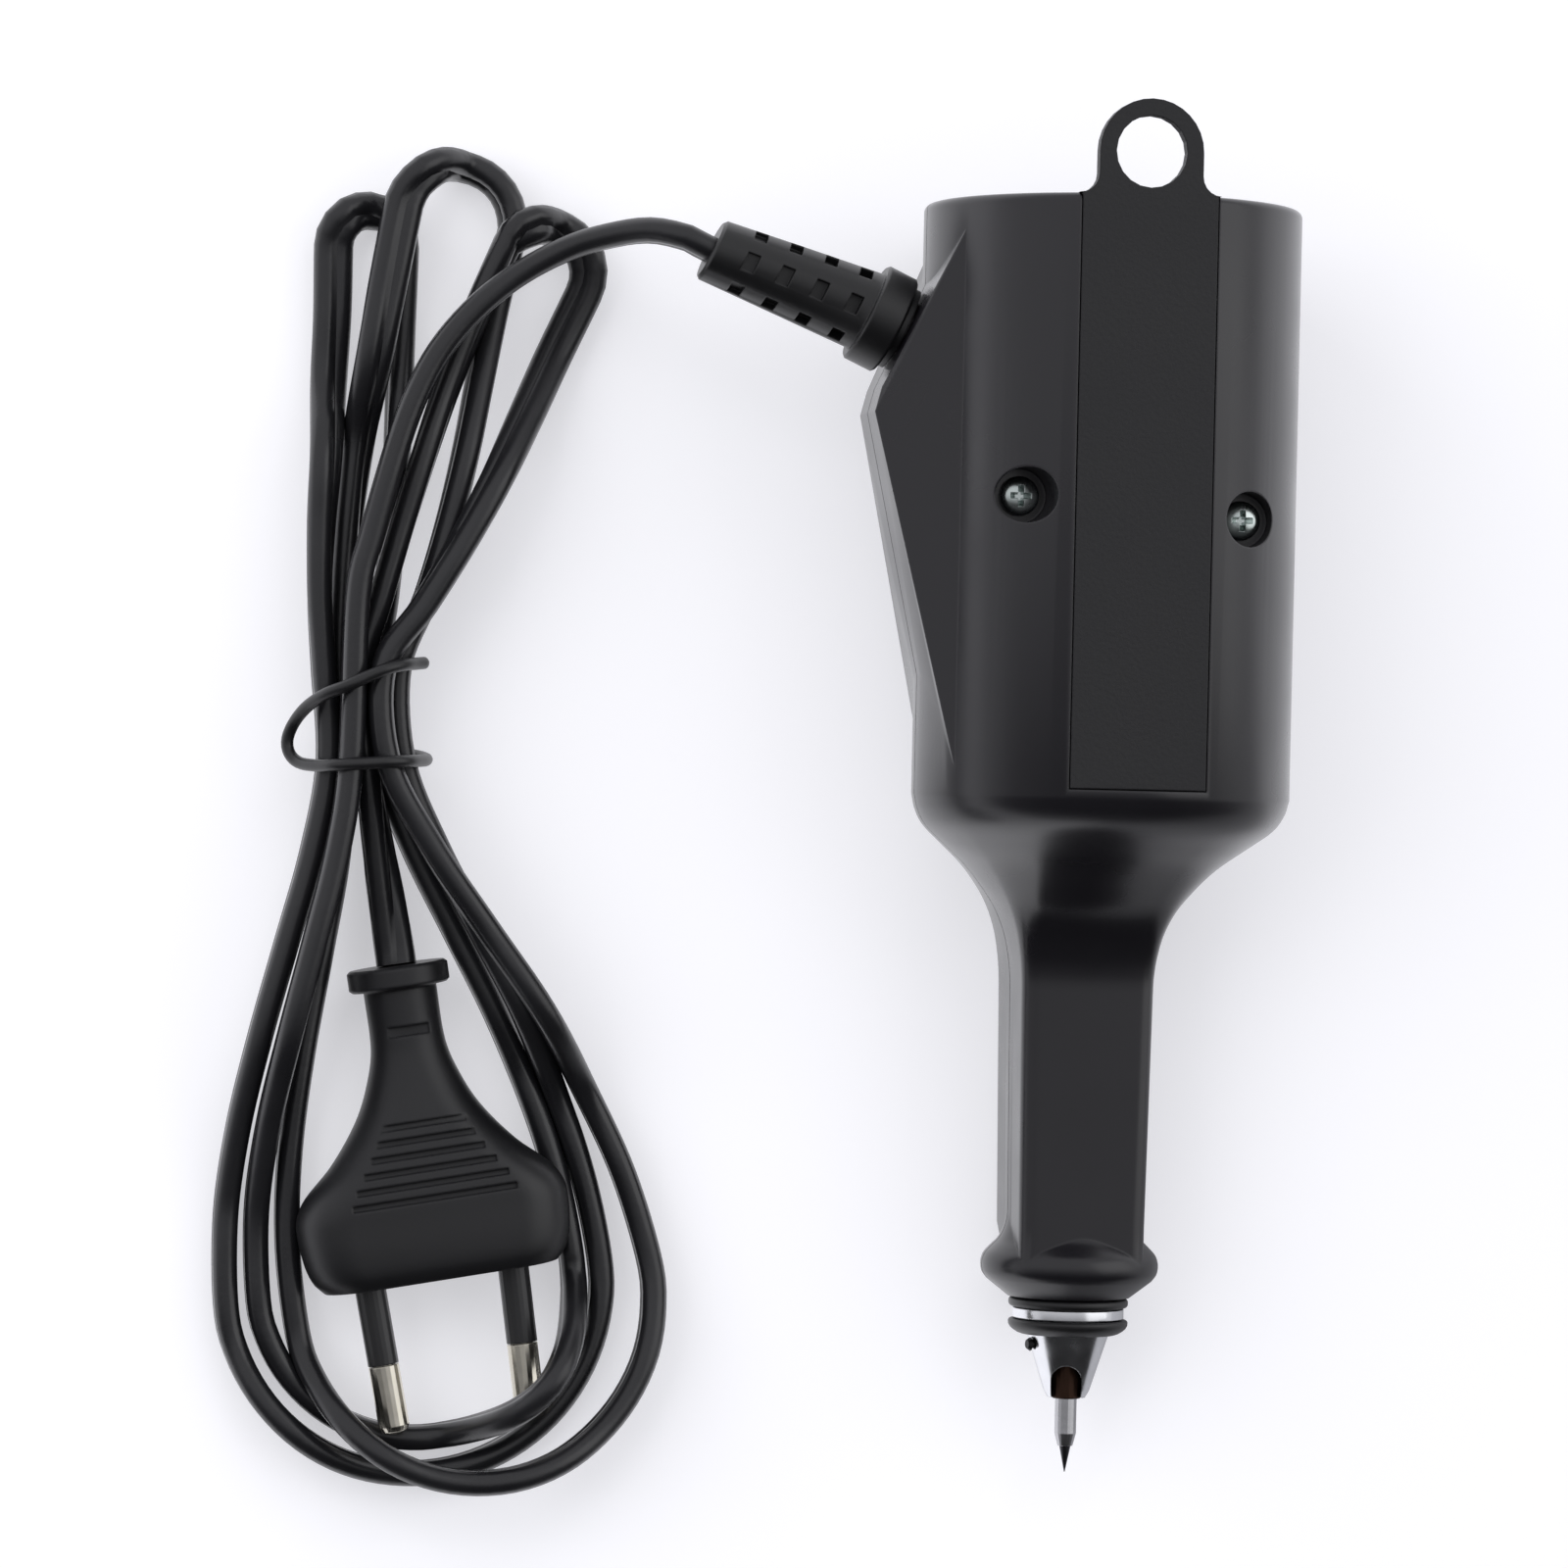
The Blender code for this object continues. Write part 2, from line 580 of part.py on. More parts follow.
def relief_turn():
    """Turns a piece made along -Y so that it points out of the boss's sloping face."""
    return (0, 0, -math.pi / 2 - BOSS_SLOPE)


def relief_face():
    """Where the relief's axis crosses the sloping face."""
    root = math.sqrt(BARREL_RADIUS ** 2 - BOSS_ROOT_HALF ** 2)
    return Vector((-root - (RELIEF_AT - BOSS_START) * math.tan(BOSS_SLOPE), -RELIEF_AT, 0))


def make_shells():
    bore = tool("relief_hole", turned([(-2 * SHELL_WALL - RELIEF_INNER_LENGTH, 0),
                                       (-2 * SHELL_WALL - RELIEF_INNER_LENGTH, RELIEF_NECK_RADIUS + FIT_GAP),
                                       (OVERRUN, RELIEF_NECK_RADIUS + FIT_GAP), (OVERRUN, 0)]),
                PEN, relief_face(), relief_turn())
    hollow = tool("housing_hollow", housing_hollow(), PEN)
    pad = tool("strip_pad", box((-STRIP_WIDTH / 2 - STRIP_PAD, -STRIP_LENGTH - STRIP_PAD, STRIP_BOTTOM - STRIP_PAD),
                                (STRIP_WIDTH / 2 + STRIP_PAD, 0, BARREL_RADIUS)), PEN)
    combine(hollow, pad, "DIFFERENCE")
    boss_hollow = tool("boss_hollow", boss_form(SHELL_WALL), PEN)
    channel = tool("strip_channel", box((-STRIP_WIDTH / 2 - CLOSE_GAP, -STRIP_LENGTH - CLOSE_GAP,
                                         STRIP_BOTTOM - CLOSE_GAP),
                                        (STRIP_WIDTH / 2 + CLOSE_GAP, OVERRUN, BARREL_RADIUS + OVERRUN)), PEN)
    collar = tool("collar", collar_form(), PEN, (0, 0, -NECK_DROP))
    boss = tool("boss", boss_form(0), PEN)
    shells = []
    for name, upper in (("rear_shell", False), ("front_shell", True)):
        shell = add(name, housing_form(upper), HOUSING, PEN)
        combine(shell, collar, "UNION")
        combine(shell, boss, "UNION")
        combine(shell, hollow, "DIFFERENCE")
        combine(shell, boss_hollow, "DIFFERENCE")
        combine(shell, bore, "DIFFERENCE")
        lift = CLOSE_GAP / 2 if upper else -CLOSE_GAP / 2
        combine(shell, parting(f"parting_{name}", lift, upper), "INTERSECT")
        shells.append(shell)
    rear, front = shells
    combine(front, channel, "DIFFERENCE")
    for share in PEG_SHARES:
        at = share * STRIP_LENGTH
        hole = column(f"peg_hole_{share}", 0, at, STRIP_BOTTOM - PEG_LENGTH - FIT_GAP, BARREL_RADIUS,
                      PEG_RADIUS + CLOSE_GAP)
        combine(front, hole, "DIFFERENCE")
    for side, x, at in screw_places():
        combine(rear, screw_post(f"rear_column_{side}", x, at, -BARREL_RADIUS, CORE_LOW - FIT_GAP), "UNION")
        combine(rear, column(f"pilot_{side}", x, at, SCREW_TIP - FIT_GAP, 0, SCREW_SHANK_RADIUS + CLOSE_GAP),
                "DIFFERENCE")
        combine(front, screw_post(f"front_column_{side}", x, at, CORE_HIGH + FIT_GAP, BARREL_RADIUS), "UNION")
        combine(front, column(f"clear_hole_{side}", x, at, 0, BARREL_RADIUS, SCREW_SHANK_RADIUS + FIT_GAP),
                "DIFFERENCE")
        combine(front, column(f"counterbore_{side}", x, at, COUNTERBORE_FLOOR, BARREL_RADIUS, COUNTERBORE_RADIUS),
                "DIFFERENCE")
    seat = BARREL_RADIUS - SHELL_WALL / 2
    half_turn = math.degrees(math.asin(RIB_HALF_WIDTH / seat))
    outline = arc((0, 0), seat, 270 - half_turn, 270 + half_turn, SMALL_SIDES // 2)
    outline += [(RIB_HALF_WIDTH, RIB_HEIGHT), (-RIB_HALF_WIDTH, RIB_HEIGHT)]
    rib = tool("rib", loft([[(x, -at, z) for x, z in outline] for at in (RIB_AT, RIB_AT + RIB_THICKNESS)]), PEN)
    slot_half = ROD_RADIUS + FIT_GAP
    slot = [(-slot_half, RIB_HEIGHT + OVERRUN)]
    slot += arc((0, -NECK_DROP), slot_half, 180, 360, SMALL_SIDES // 2)
    slot.append((slot_half, RIB_HEIGHT + OVERRUN))
    rings = [[(x, -at, z) for x, z in slot] for at in (RIB_AT - OVERRUN, RIB_AT + RIB_THICKNESS + OVERRUN)]
    combine(rib, tool("rib_slot", loft(rings), PEN), "DIFFERENCE")
    combine(rear, rib, "UNION")


def make_strip():
    half = STRIP_WIDTH / 2
    neck = RING_RADIUS
    outline = [(-half, -STRIP_LENGTH), (half, -STRIP_LENGTH), (half, 0)]
    outline += arc((neck + RING_FILLET, RING_FILLET), RING_FILLET, 270, 180, 5)
    outline += arc((0, RING_RISE), RING_RADIUS, 0, 180, ROUND_SIDES // 2)
    outline += arc((-neck - RING_FILLET, RING_FILLET), RING_FILLET, 0, -90, 5)
    outline.append((-half, 0))
    bm = prism([point for i, point in enumerate(outline) if point != outline[i - 1]], STRIP_BOTTOM, STRIP_TOP)
    strip = add("hanger_strip", bm, STRIP, PEN)
    combine(strip, column("ring_hole", 0, -RING_RISE, STRIP_BOTTOM - OVERRUN, STRIP_TOP + OVERRUN,
                          RING_HOLE_RADIUS), "DIFFERENCE")
    for share in PEG_SHARES:
        combine(strip, column(f"peg_{share}", 0, share * STRIP_LENGTH, STRIP_BOTTOM - PEG_LENGTH,
                              STRIP_BOTTOM + STRIP_THICKNESS / 2, PEG_RADIUS), "UNION")


def make_screw(name, x, at):
    """A cross-head screw along Z, its head on the counterbore's floor."""
    seat = COUNTERBORE_FLOOR + CLOSE_GAP
    tip = SCREW_TIP
    crown = seat + SCREW_HEAD_HEIGHT
    profile = [(tip, 0), (tip + SCREW_SHANK_RADIUS, SCREW_SHANK_RADIUS), (seat, SCREW_SHANK_RADIUS),
               (seat, SCREW_HEAD_RADIUS), (crown - SCREW_HEAD_HEIGHT / 2, SCREW_HEAD_RADIUS),
               (crown, SCREW_HEAD_RADIUS * 2 / 3), (crown, 0)]
    screw = add(name, turned(profile, SMALL_SIDES), SCREW_STEEL, PEN, (x, -at, 0), (-math.pi / 2, 0, 0))
    for turn, (across, along) in enumerate(((CROSS_SPAN, CROSS_WIDTH), (CROSS_WIDTH, CROSS_SPAN))):
        slot = box((x - across / 2, -at - along / 2, crown - CROSS_DEPTH),
                   (x + across / 2, -at + along / 2, crown + OVERRUN))
        combine(screw, tool(f"{name}_slot_{turn}", slot, PEN), "DIFFERENCE")


def make_nose_rings():
    inner = SPIGOT_RADIUS + CLOSE_GAP
    for name, at, length, seat, material in (
            ("o_ring_upper", UPPER_RING_AT, UPPER_RING_LENGTH, inner, RUBBER),
            ("o_ring_lower", LOWER_RING_AT, LOWER_RING_LENGTH, CONE_SHOULDER_RADIUS + CLOSE_GAP, RUBBER)):
        soft = length / 3
        profile = [(at, seat), (at, RING_OUTER_RADIUS - soft), (at + soft / 3, RING_OUTER_RADIUS - soft / 3),
                   (at + soft, RING_OUTER_RADIUS), (at + length - soft, RING_OUTER_RADIUS),
                   (at + length - soft / 3, RING_OUTER_RADIUS - soft / 3),
                   (at + length, RING_OUTER_RADIUS - soft), (at + length, seat)]
        add(name, turned(profile, hollow=True), material, PEN, (0, 0, -NECK_DROP))
    add("retaining_band", tube(BAND_AT, BAND_AT + BAND_LENGTH, BAND_RADIUS, inner), CHROME, PEN,
        (0, 0, -NECK_DROP))


def make_nose_cone():
    stem_top = LOWER_RING_AT - CONE_STEM_LENGTH
    waist_at = CONE_AT + CONE_WAIST_SHARE * CONE_LENGTH
    bush_seat = BUSH_RADIUS + CLOSE_GAP
    bush_top = CONE_END - BUSH_LENGTH
    profile = [(stem_top, STEM_RADIUS), (LOWER_RING_AT, STEM_RADIUS), (LOWER_RING_AT, CONE_SHOULDER_RADIUS),
               (CONE_AT - CLOSE_GAP, CONE_SHOULDER_RADIUS), (CONE_AT, CONE_BASE_RADIUS),
               (waist_at, CONE_WAIST_RADIUS), (CONE_END, CONE_MOUTH_RADIUS), (CONE_END, bush_seat),
               (bush_top, bush_seat), (bush_top, SHANK_RADIUS + FIT_GAP),
               (bush_top - CONE_STEM_WALL / 2, SHANK_RADIUS + FIT_GAP),
               (bush_top - CONE_STEM_WALL / 2 - STEM_BORE_RADIUS / 2, STEM_BORE_RADIUS), (stem_top, STEM_BORE_RADIUS)]
    cone = add("nose_cone", turned(profile, hollow=True), CHROME, PEN, (0, 0, -NECK_DROP))
    half = CONE_WINDOW_WIDTH / 2
    top = CONE_END - CONE_WINDOW_LENGTH
    window = [(-half, -CONE_END - OVERRUN), (half, -CONE_END - OVERRUN)]
    window += arc((0, -top - half), half, 0, 180, SMALL_SIDES // 2)
    cutter = tool("cone_window", prism(window, 0, NECK_DROP), PEN, (0, 0, -NECK_DROP),
                  (0, -math.radians(CONE_WINDOW_TURN_DEG), 0))
    combine(cone, cutter, "DIFFERENCE")
    at = CONE_AT + LOCK_SCREW_DROP
    slope = (CONE_BASE_RADIUS - CONE_WAIST_RADIUS) / (waist_at - CONE_AT)
    surface = CONE_BASE_RADIUS - slope * LOCK_SCREW_DROP
    around = math.pi / 2 - math.radians(LOCK_SCREW_TURN_DEG)
    turn = Matrix.Rotation(-around, 4, "Y") @ Matrix.Rotation(-math.pi / 2, 4, "X")
    place = (0, -at, -NECK_DROP)
    root = surface - LOCK_SCREW_BITE
    crown = surface + LOCK_SCREW_HEIGHT
    hole = LOCK_SCREW_SHANK_RADIUS + CLOSE_GAP
    combine(cone, tool("lock_screw_hole", turned([(root - CLOSE_GAP, 0), (root - CLOSE_GAP, hole),
                                                  (crown, hole), (crown, 0)], SMALL_SIDES // 2),
                       PEN, place, turn.to_euler()), "DIFFERENCE")
    seat = surface + slope * LOCK_SCREW_RADIUS + CLOSE_GAP
    profile = [(root, 0), (root, LOCK_SCREW_SHANK_RADIUS), (seat, LOCK_SCREW_SHANK_RADIUS),
               (seat, LOCK_SCREW_RADIUS), (crown, LOCK_SCREW_RADIUS * 2 / 3), (crown, 0)]
    add("cone_lock_screw", turned(profile, SMALL_SIDES // 2), BLACK_STEEL, PEN, place, turn.to_euler())
    bore = SHANK_RADIUS + CLOSE_GAP
    lip = CONE_END + CLOSE_GAP
    profile = [(bush_top + CLOSE_GAP, bore), (bush_top + CLOSE_GAP, BUSH_RADIUS), (CONE_END, BUSH_RADIUS),
               (lip, (BUSH_RADIUS + bore) / 2), (lip, bore)]
    add("guide_bush", turned(profile, SMALL_SIDES, hollow=True), BRONZE, PEN, (0, 0, -NECK_DROP))


def make_striker():
    """What the magnet drives: armature, rod, spring seat and the needle."""
    axis = (0, 0, -NECK_DROP)
    hold_top = SHANK_END - SHANK_SHOWN - CONE_LENGTH - SHANK_HELD
    stud_top = ARMATURE_AT - CLOSE_GAP - NUT_HEIGHT - CLOSE_GAP
    hole = SHANK_RADIUS + CLOSE_GAP
    profile = [(stud_top, 0), (stud_top, ROD_STUD_RADIUS), (ARMATURE_END + CLOSE_GAP, ROD_STUD_RADIUS),
               (ARMATURE_END + CLOSE_GAP, ROD_RADIUS), (ROD_END, ROD_RADIUS), (ROD_END, hole),
               (hold_top - CLOSE_GAP, hole), (hold_top - CLOSE_GAP, 0)]
    rod = add("drive_rod", turned(profile, SMALL_SIDES), STEEL, PEN, axis)
    set_at = ROD_END - SET_SCREW_DROP
    inner, outer = hole + CLOSE_GAP, ROD_RADIUS
    sideways = (0, 0, math.pi / 2)
    thread = tool("set_screw_hole", turned([(0, 0), (0, SET_SCREW_RADIUS + CLOSE_GAP),
                                            (ROD_RADIUS + OVERRUN, SET_SCREW_RADIUS + CLOSE_GAP),
                                            (ROD_RADIUS + OVERRUN, 0)], SMALL_SIDES // 2),
                  PEN, (0, -set_at, -NECK_DROP), sideways)
    combine(rod, thread, "DIFFERENCE")
    profile = [(outer - SET_SCREW_LENGTH, 0), (outer - SET_SCREW_LENGTH, SET_SCREW_RADIUS),
               (outer, SET_SCREW_RADIUS), (outer, 0)]
    add("stylus_set_screw", turned(profile, SMALL_SIDES // 2), BLACK_STEEL, PEN, (0, -set_at, -NECK_DROP), sideways)
    point_top = SHANK_END - POINT_HELD
    point_hole = POINT_RADIUS + CLOSE_GAP / 3
    profile = [(hold_top, 0), (hold_top, SHANK_RADIUS), (SHANK_END - SHANK_TAPER_LENGTH, SHANK_RADIUS),
               (SHANK_END, SHANK_END_RADIUS), (SHANK_END, point_hole), (point_top - CLOSE_GAP, point_hole),
               (point_top - CLOSE_GAP, 0)]
    add("stylus_shank", turned(profile, SMALL_SIDES), STEEL, PEN, axis)
    profile = [(point_top, 0), (point_top, POINT_RADIUS), (SHANK_END, POINT_RADIUS),
               (POINT_END, POINT_TIP_RADIUS), (POINT_END, 0)]
    add("carbide_point", turned(profile, SMALL_SIDES), CARBIDE, PEN, axis)
    seat_outer = SPRING_COIL_RADIUS + SPRING_WIRE_RADIUS
    add("spring_seat", tube(SPRING_SEAT_AT, SPRING_SEAT_AT + SPRING_SEAT_LENGTH, seat_outer,
                            ROD_RADIUS + CLOSE_GAP, SMALL_SIDES), STEEL, PEN, axis)
    armature = add("armature", box((-CORE_HALF_WIDTH, -ARMATURE_END, CORE_LOW),
                                   (CORE_HALF_WIDTH, -ARMATURE_AT, CORE_HIGH)), LAMINATION, PEN)
    hub = tool("armature_hub", box((-HUB_HALF_WIDTH, -ARMATURE_END, -NECK_DROP - HUB_BELOW),
                                   (HUB_HALF_WIDTH, -ARMATURE_AT, CORE_HEIGHT)), PEN)
    combine(armature, hub, "UNION")
    stud = ROD_STUD_RADIUS + CLOSE_GAP
    stud_hole = tool("stud_hole", turned([(ARMATURE_AT - OVERRUN, 0), (ARMATURE_AT - OVERRUN, stud),
                                          (ARMATURE_END + OVERRUN, stud), (ARMATURE_END + OVERRUN, 0)],
                                         SMALL_SIDES), PEN, axis)
    combine(armature, stud_hole, "DIFFERENCE")
    nut_end = ARMATURE_AT - CLOSE_GAP
    nut = add("armature_nut", turned([(nut_end - NUT_HEIGHT, 0), (nut_end - NUT_HEIGHT, NUT_ACROSS / math.sqrt(3)),
                                      (nut_end, NUT_ACROSS / math.sqrt(3)), (nut_end, 0)], 6), STEEL, PEN, axis)
    nut_bore = tool("nut_bore", turned([(nut_end - NUT_HEIGHT - OVERRUN, 0), (nut_end - NUT_HEIGHT - OVERRUN, stud),
                                        (nut_end + OVERRUN, stud), (nut_end + OVERRUN, 0)], SMALL_SIDES), PEN, axis)
    combine(nut, nut_bore, "DIFFERENCE")


def wire(name, points, radius, material, parent, resolution):
    """A round tube along a row of points, closed at both ends."""
    curve = bpy.data.curves.new(name, "CURVE")
    curve.dimensions = "3D"
    curve.bevel_depth = radius
    curve.bevel_resolution = resolution
    curve.use_fill_caps = True
    spline = curve.splines.new("POLY")
    spline.points.add(len(points) - 1)
    for slot, point in zip(spline.points, points):
        slot.co = (*point, 1.0)
    spline.use_smooth = True
    curve.materials.append(material)
    item = bpy.data.objects.new(name, curve)
    item.parent = parent
    bpy.context.scene.collection.objects.link(item)
    return item


def smooth_route(points, count):
    """Reads count points, evenly spaced, from a smooth curve through the given ones."""
    points = [Vector(point) for point in points]
    ends = [2 * points[0] - points[1]] + points + [2 * points[-1] - points[-2]]
    fine = []
    for a, b, c, d in zip(ends, ends[1:], ends[2:], ends[3:]):
        for i in range(24):
            w = i / 24
            fine.append(0.5 * (2 * b + (c - a) * w + (2 * a - 5 * b + 4 * c - d) * w ** 2
                               + (3 * b - a - 3 * c + d) * w ** 3))
    fine.append(points[-1])
    lengths = [0.0]
    for first, second in zip(fine, fine[1:]):
        lengths.append(lengths[-1] + (second - first).length)
    route, k = [], 0
    for i in range(count):
        goal = lengths[-1] * i / (count - 1)
        while k < len(fine) - 2 and lengths[k + 1] < goal:
            k += 1
        span = lengths[k + 1] - lengths[k]
        route.append(fine[k].lerp(fine[k + 1], (goal - lengths[k]) / span if span else 0.0))
    return route


def make_spring_and_guide():
    axis = (0, 0, -NECK_DROP)
    add("rod_guide", tube(GUIDE_AT, GUIDE_AT + GUIDE_LENGTH, NECK_BORE_RADIUS - CLOSE_GAP,
                          ROD_RADIUS + CLOSE_GAP, SMALL_SIDES), NYLON, PEN, axis)
    steps = 10 * SPRING_TURNS
    low, high = SPRING_AT + SPRING_WIRE_RADIUS, SPRING_AT + SPRING_LENGTH - SPRING_WIRE_RADIUS
    points = []
    for i in range(steps + 1):
        turn = 2 * math.pi * SPRING_TURNS * i / steps
        points.append((SPRING_COIL_RADIUS * math.cos(turn), -(low + (high - low) * i / steps),
                       SPRING_COIL_RADIUS * math.sin(turn) - NECK_DROP))
    wire("return_spring", points, SPRING_WIRE_RADIUS, STEEL, PEN, 0)
    add("stop_pad", tube(PAD_AT, PAD_AT + PAD_LENGTH, PAD_RADIUS, ROD_RADIUS + FIT_GAP, SMALL_SIDES),
        RUBBER, PEN, axis)


def frame_tube(half_x, half_z, wall, start, end, height):
    """A rectangular tube along Y, from its hole's half sizes."""
    rings = []
    for at, grow in ((start, 0), (start, wall), (end, wall), (end, 0)):
        x, z = half_x + grow, half_z + grow
        rings.append([(x, -at, height - z), (x, -at, height + z), (-x, -at, height + z), (-x, -at, height - z)])
    bm = bmesh.new()
    made = [[bm.verts.new(point) for point in ring] for ring in rings]
    for first, second in zip(made, made[1:] + made[:1]):
        for i in range(4):
            j = (i + 1) % 4
            bm.faces.new((first[i], first[j], second[j], second[i]))
    return bm


def make_magnet():
    outer, inner = CORE_HALF_WIDTH, CORE_HALF_WIDTH - CORE_OUTER_LEG
    centre = CORE_CENTRE_LEG / 2
    top, notch, end = -CORE_START, -CORE_START - CORE_YOKE, -CORE_END
    outline = [(-outer, top), (-outer, end), (-inner, end), (-inner, notch), (-centre, notch), (-centre, end),
               (centre, end), (centre, notch), (inner, notch), (inner, end), (outer, end), (outer, top)]
    core = add("core_stack", prism(outline, CORE_LOW, CORE_HIGH), LAMINATION, PEN)
    for side, x, at in screw_places():
        combine(core, column(f"core_hole_{side}", x, at, CORE_LOW - OVERRUN, CORE_HIGH + OVERRUN,
                             SCREW_SHANK_RADIUS + FIT_GAP), "DIFFERENCE")
    hole_x, hole_z = centre + FIT_GAP, CORE_STACK / 2 + FIT_GAP
    start = CORE_START + CORE_YOKE + FIT_GAP
    end = CORE_END - BOBBIN_END_GAP
    bobbin = add("coil_bobbin", frame_tube(hole_x, hole_z, BOBBIN_WALL, start, end, CORE_HEIGHT), NYLON, PEN)
    flange_x = inner - FIT_GAP
    for name, at in (("upper", start), ("lower", end - BOBBIN_FLANGE)):
        flange = tool(f"bobbin_flange_{name}", box((-flange_x, -at - BOBBIN_FLANGE, CORE_HEIGHT - BOBBIN_DEPTH),
                                                   (flange_x, -at, CORE_HEIGHT + BOBBIN_DEPTH)), PEN)
        hole = tool(f"bobbin_hole_{name}", box((-hole_x, -at - BOBBIN_FLANGE - OVERRUN, CORE_HEIGHT - hole_z),
                                               (hole_x, -at + OVERRUN, CORE_HEIGHT + hole_z)), PEN)
        combine(flange, hole, "DIFFERENCE")
        combine(bobbin, flange, "UNION")
    inner_x, inner_z = hole_x + BOBBIN_WALL + FIT_GAP, hole_z + BOBBIN_WALL + FIT_GAP
    build = flange_x - WINDING_INSET - inner_x
    winding = frame_tube(inner_x, inner_z, build, start + BOBBIN_FLANGE + FIT_GAP, end - BOBBIN_FLANGE - FIT_GAP,
                         CORE_HEIGHT)
    add("coil_winding", winding, WINDING, PEN)
    for side, x in (("left", -TAB_SPACING / 2), ("right", TAB_SPACING / 2)):
        low = CORE_HIGH + TAB_RISE
        add(f"coil_terminal_{side}", box((x - TAB_WIDTH / 2, -start + CLOSE_GAP, low),
                                         (x + TAB_WIDTH / 2, -start + CLOSE_GAP + TAB_LENGTH, low + TAB_THICKNESS)),
            BRASS, PEN)


def relief_tip():
    return FIT_GAP + RELIEF_GROOVE_LENGTH + RELIEF_FLANGE_LENGTH + RELIEF_SLEEVE_LENGTH


def make_relief():
    """The moulded bend protector: held in the sloping face, tapered, with rows of slots round it."""
    wall = SHELL_WALL + 2 * FIT_GAP
    flange_end = relief_tip() - RELIEF_SLEEVE_LENGTH
    tip = relief_tip()
    profile = [(-wall - RELIEF_INNER_LENGTH, 0), (-wall - RELIEF_INNER_LENGTH, RELIEF_INNER_RADIUS),
               (-wall, RELIEF_INNER_RADIUS), (-wall, RELIEF_NECK_RADIUS), (FIT_GAP, RELIEF_NECK_RADIUS),
               (FIT_GAP, RELIEF_GROOVE_RADIUS), (FIT_GAP + RELIEF_GROOVE_LENGTH, RELIEF_GROOVE_RADIUS),
               (FIT_GAP + RELIEF_GROOVE_LENGTH, RELIEF_FLANGE_RADIUS), (flange_end, RELIEF_FLANGE_RADIUS),
               (flange_end, RELIEF_ROOT_RADIUS), (tip, RELIEF_TIP_RADIUS), (tip, 0)]
    relief = add("strain_relief", turned(profile, 24), RUBBER, PEN, relief_face(), relief_turn())
    low, high = RELIEF_ROOT_RADIUS - RELIEF_SLOT_DEPTH, RELIEF_FLANGE_RADIUS + OVERRUN
    for row in range(RELIEF_SLOT_ROWS):
        at = tip - RELIEF_FIRST_SLOT - row * RELIEF_SLOT_PITCH
        for k in range(RELIEF_SLOTS_ROUND):
            slot = box((-RELIEF_SLOT_SPAN / 2, -at - RELIEF_SLOT_WIDTH / 2, low),
                       (RELIEF_SLOT_SPAN / 2, -at + RELIEF_SLOT_WIDTH / 2, high))
            turn = math.radians(RELIEF_SLOT_TURN_DEG) + 2 * math.pi * k / RELIEF_SLOTS_ROUND
            bmesh.ops.rotate(slot, cent=(0, 0, 0), matrix=Matrix.Rotation(turn, 3, "Y"), verts=slot.verts)
            combine(relief, tool(f"relief_slot_{row}_{k}", slot, PEN, relief_face(), relief_turn()), "DIFFERENCE")


def make_wires():
    """The lead's two wires, from the relief's inner end to the coil's terminals."""
    along = Vector((math.cos(BOSS_SLOPE), -math.sin(BOSS_SLOPE), 0))
    inner = relief_face() + along * (SHELL_WALL + 2 * FIT_GAP + RELIEF_INNER_LENGTH + FIT_GAP)
    tab_at = CORE_START + CORE_YOKE + FIT_GAP - CLOSE_GAP - TAB_LENGTH - FIT_GAP
    tab_height = CORE_HIGH + TAB_RISE + TAB_THICKNESS / 2
    over = CORE_HIGH + WIRE_CLEARANCE
    for side, sign in (("left", -1), ("right", 1)):
        first = inner + Vector((0, 0, -sign * WIRE_SPREAD))
        x = sign * TAB_SPACING / 2
        cross_at = CORE_START - (2 + sign) * WIRE_SPREAD
        beside = first + along * ((-CORE_HALF_WIDTH - WIRE_CLEARANCE - first.x) / along.x)
        points = [first, beside, (-CORE_HALF_WIDTH - WIRE_RADIUS, -cross_at, over - 2 * WIRE_SPREAD),
                  (-CORE_HALF_WIDTH + 2 * WIRE_CLEARANCE, -cross_at, over), (x - WIRE_CLEARANCE, -cross_at, over),
                  (x, -tab_at + WIRE_STRAIGHT / 2, tab_height), (x, -tab_at, tab_height)]
        wire(f"wire_{side}", smooth_route(points, WIRE_STEPS), WIRE_RADIUS, WIRE_COVER, PEN, 1)


# The mains lead
def eased(share):
    share = min(max(share, 0.0), 1.0)
    return share * share * (3 - 2 * share)


def waist_ends():
    return Vector((*WAIST_TOP_MM, 0)) * MM, Vector((*WAIST_END_MM, 0)) * MM


def waist_row(row):
    """A row's height over the tie, which runs under the hank."""
    return 2 * TIE_RADIUS + CLOSE_GAP + FIT_GAP + CORD_DIAMETER / 2 + row * WAIST_UP


def pass_place(k, end):
    across, row = PASS_SLOTS[k]
    return end + Vector((across * WAIST_ACROSS, 0, waist_row(row)))


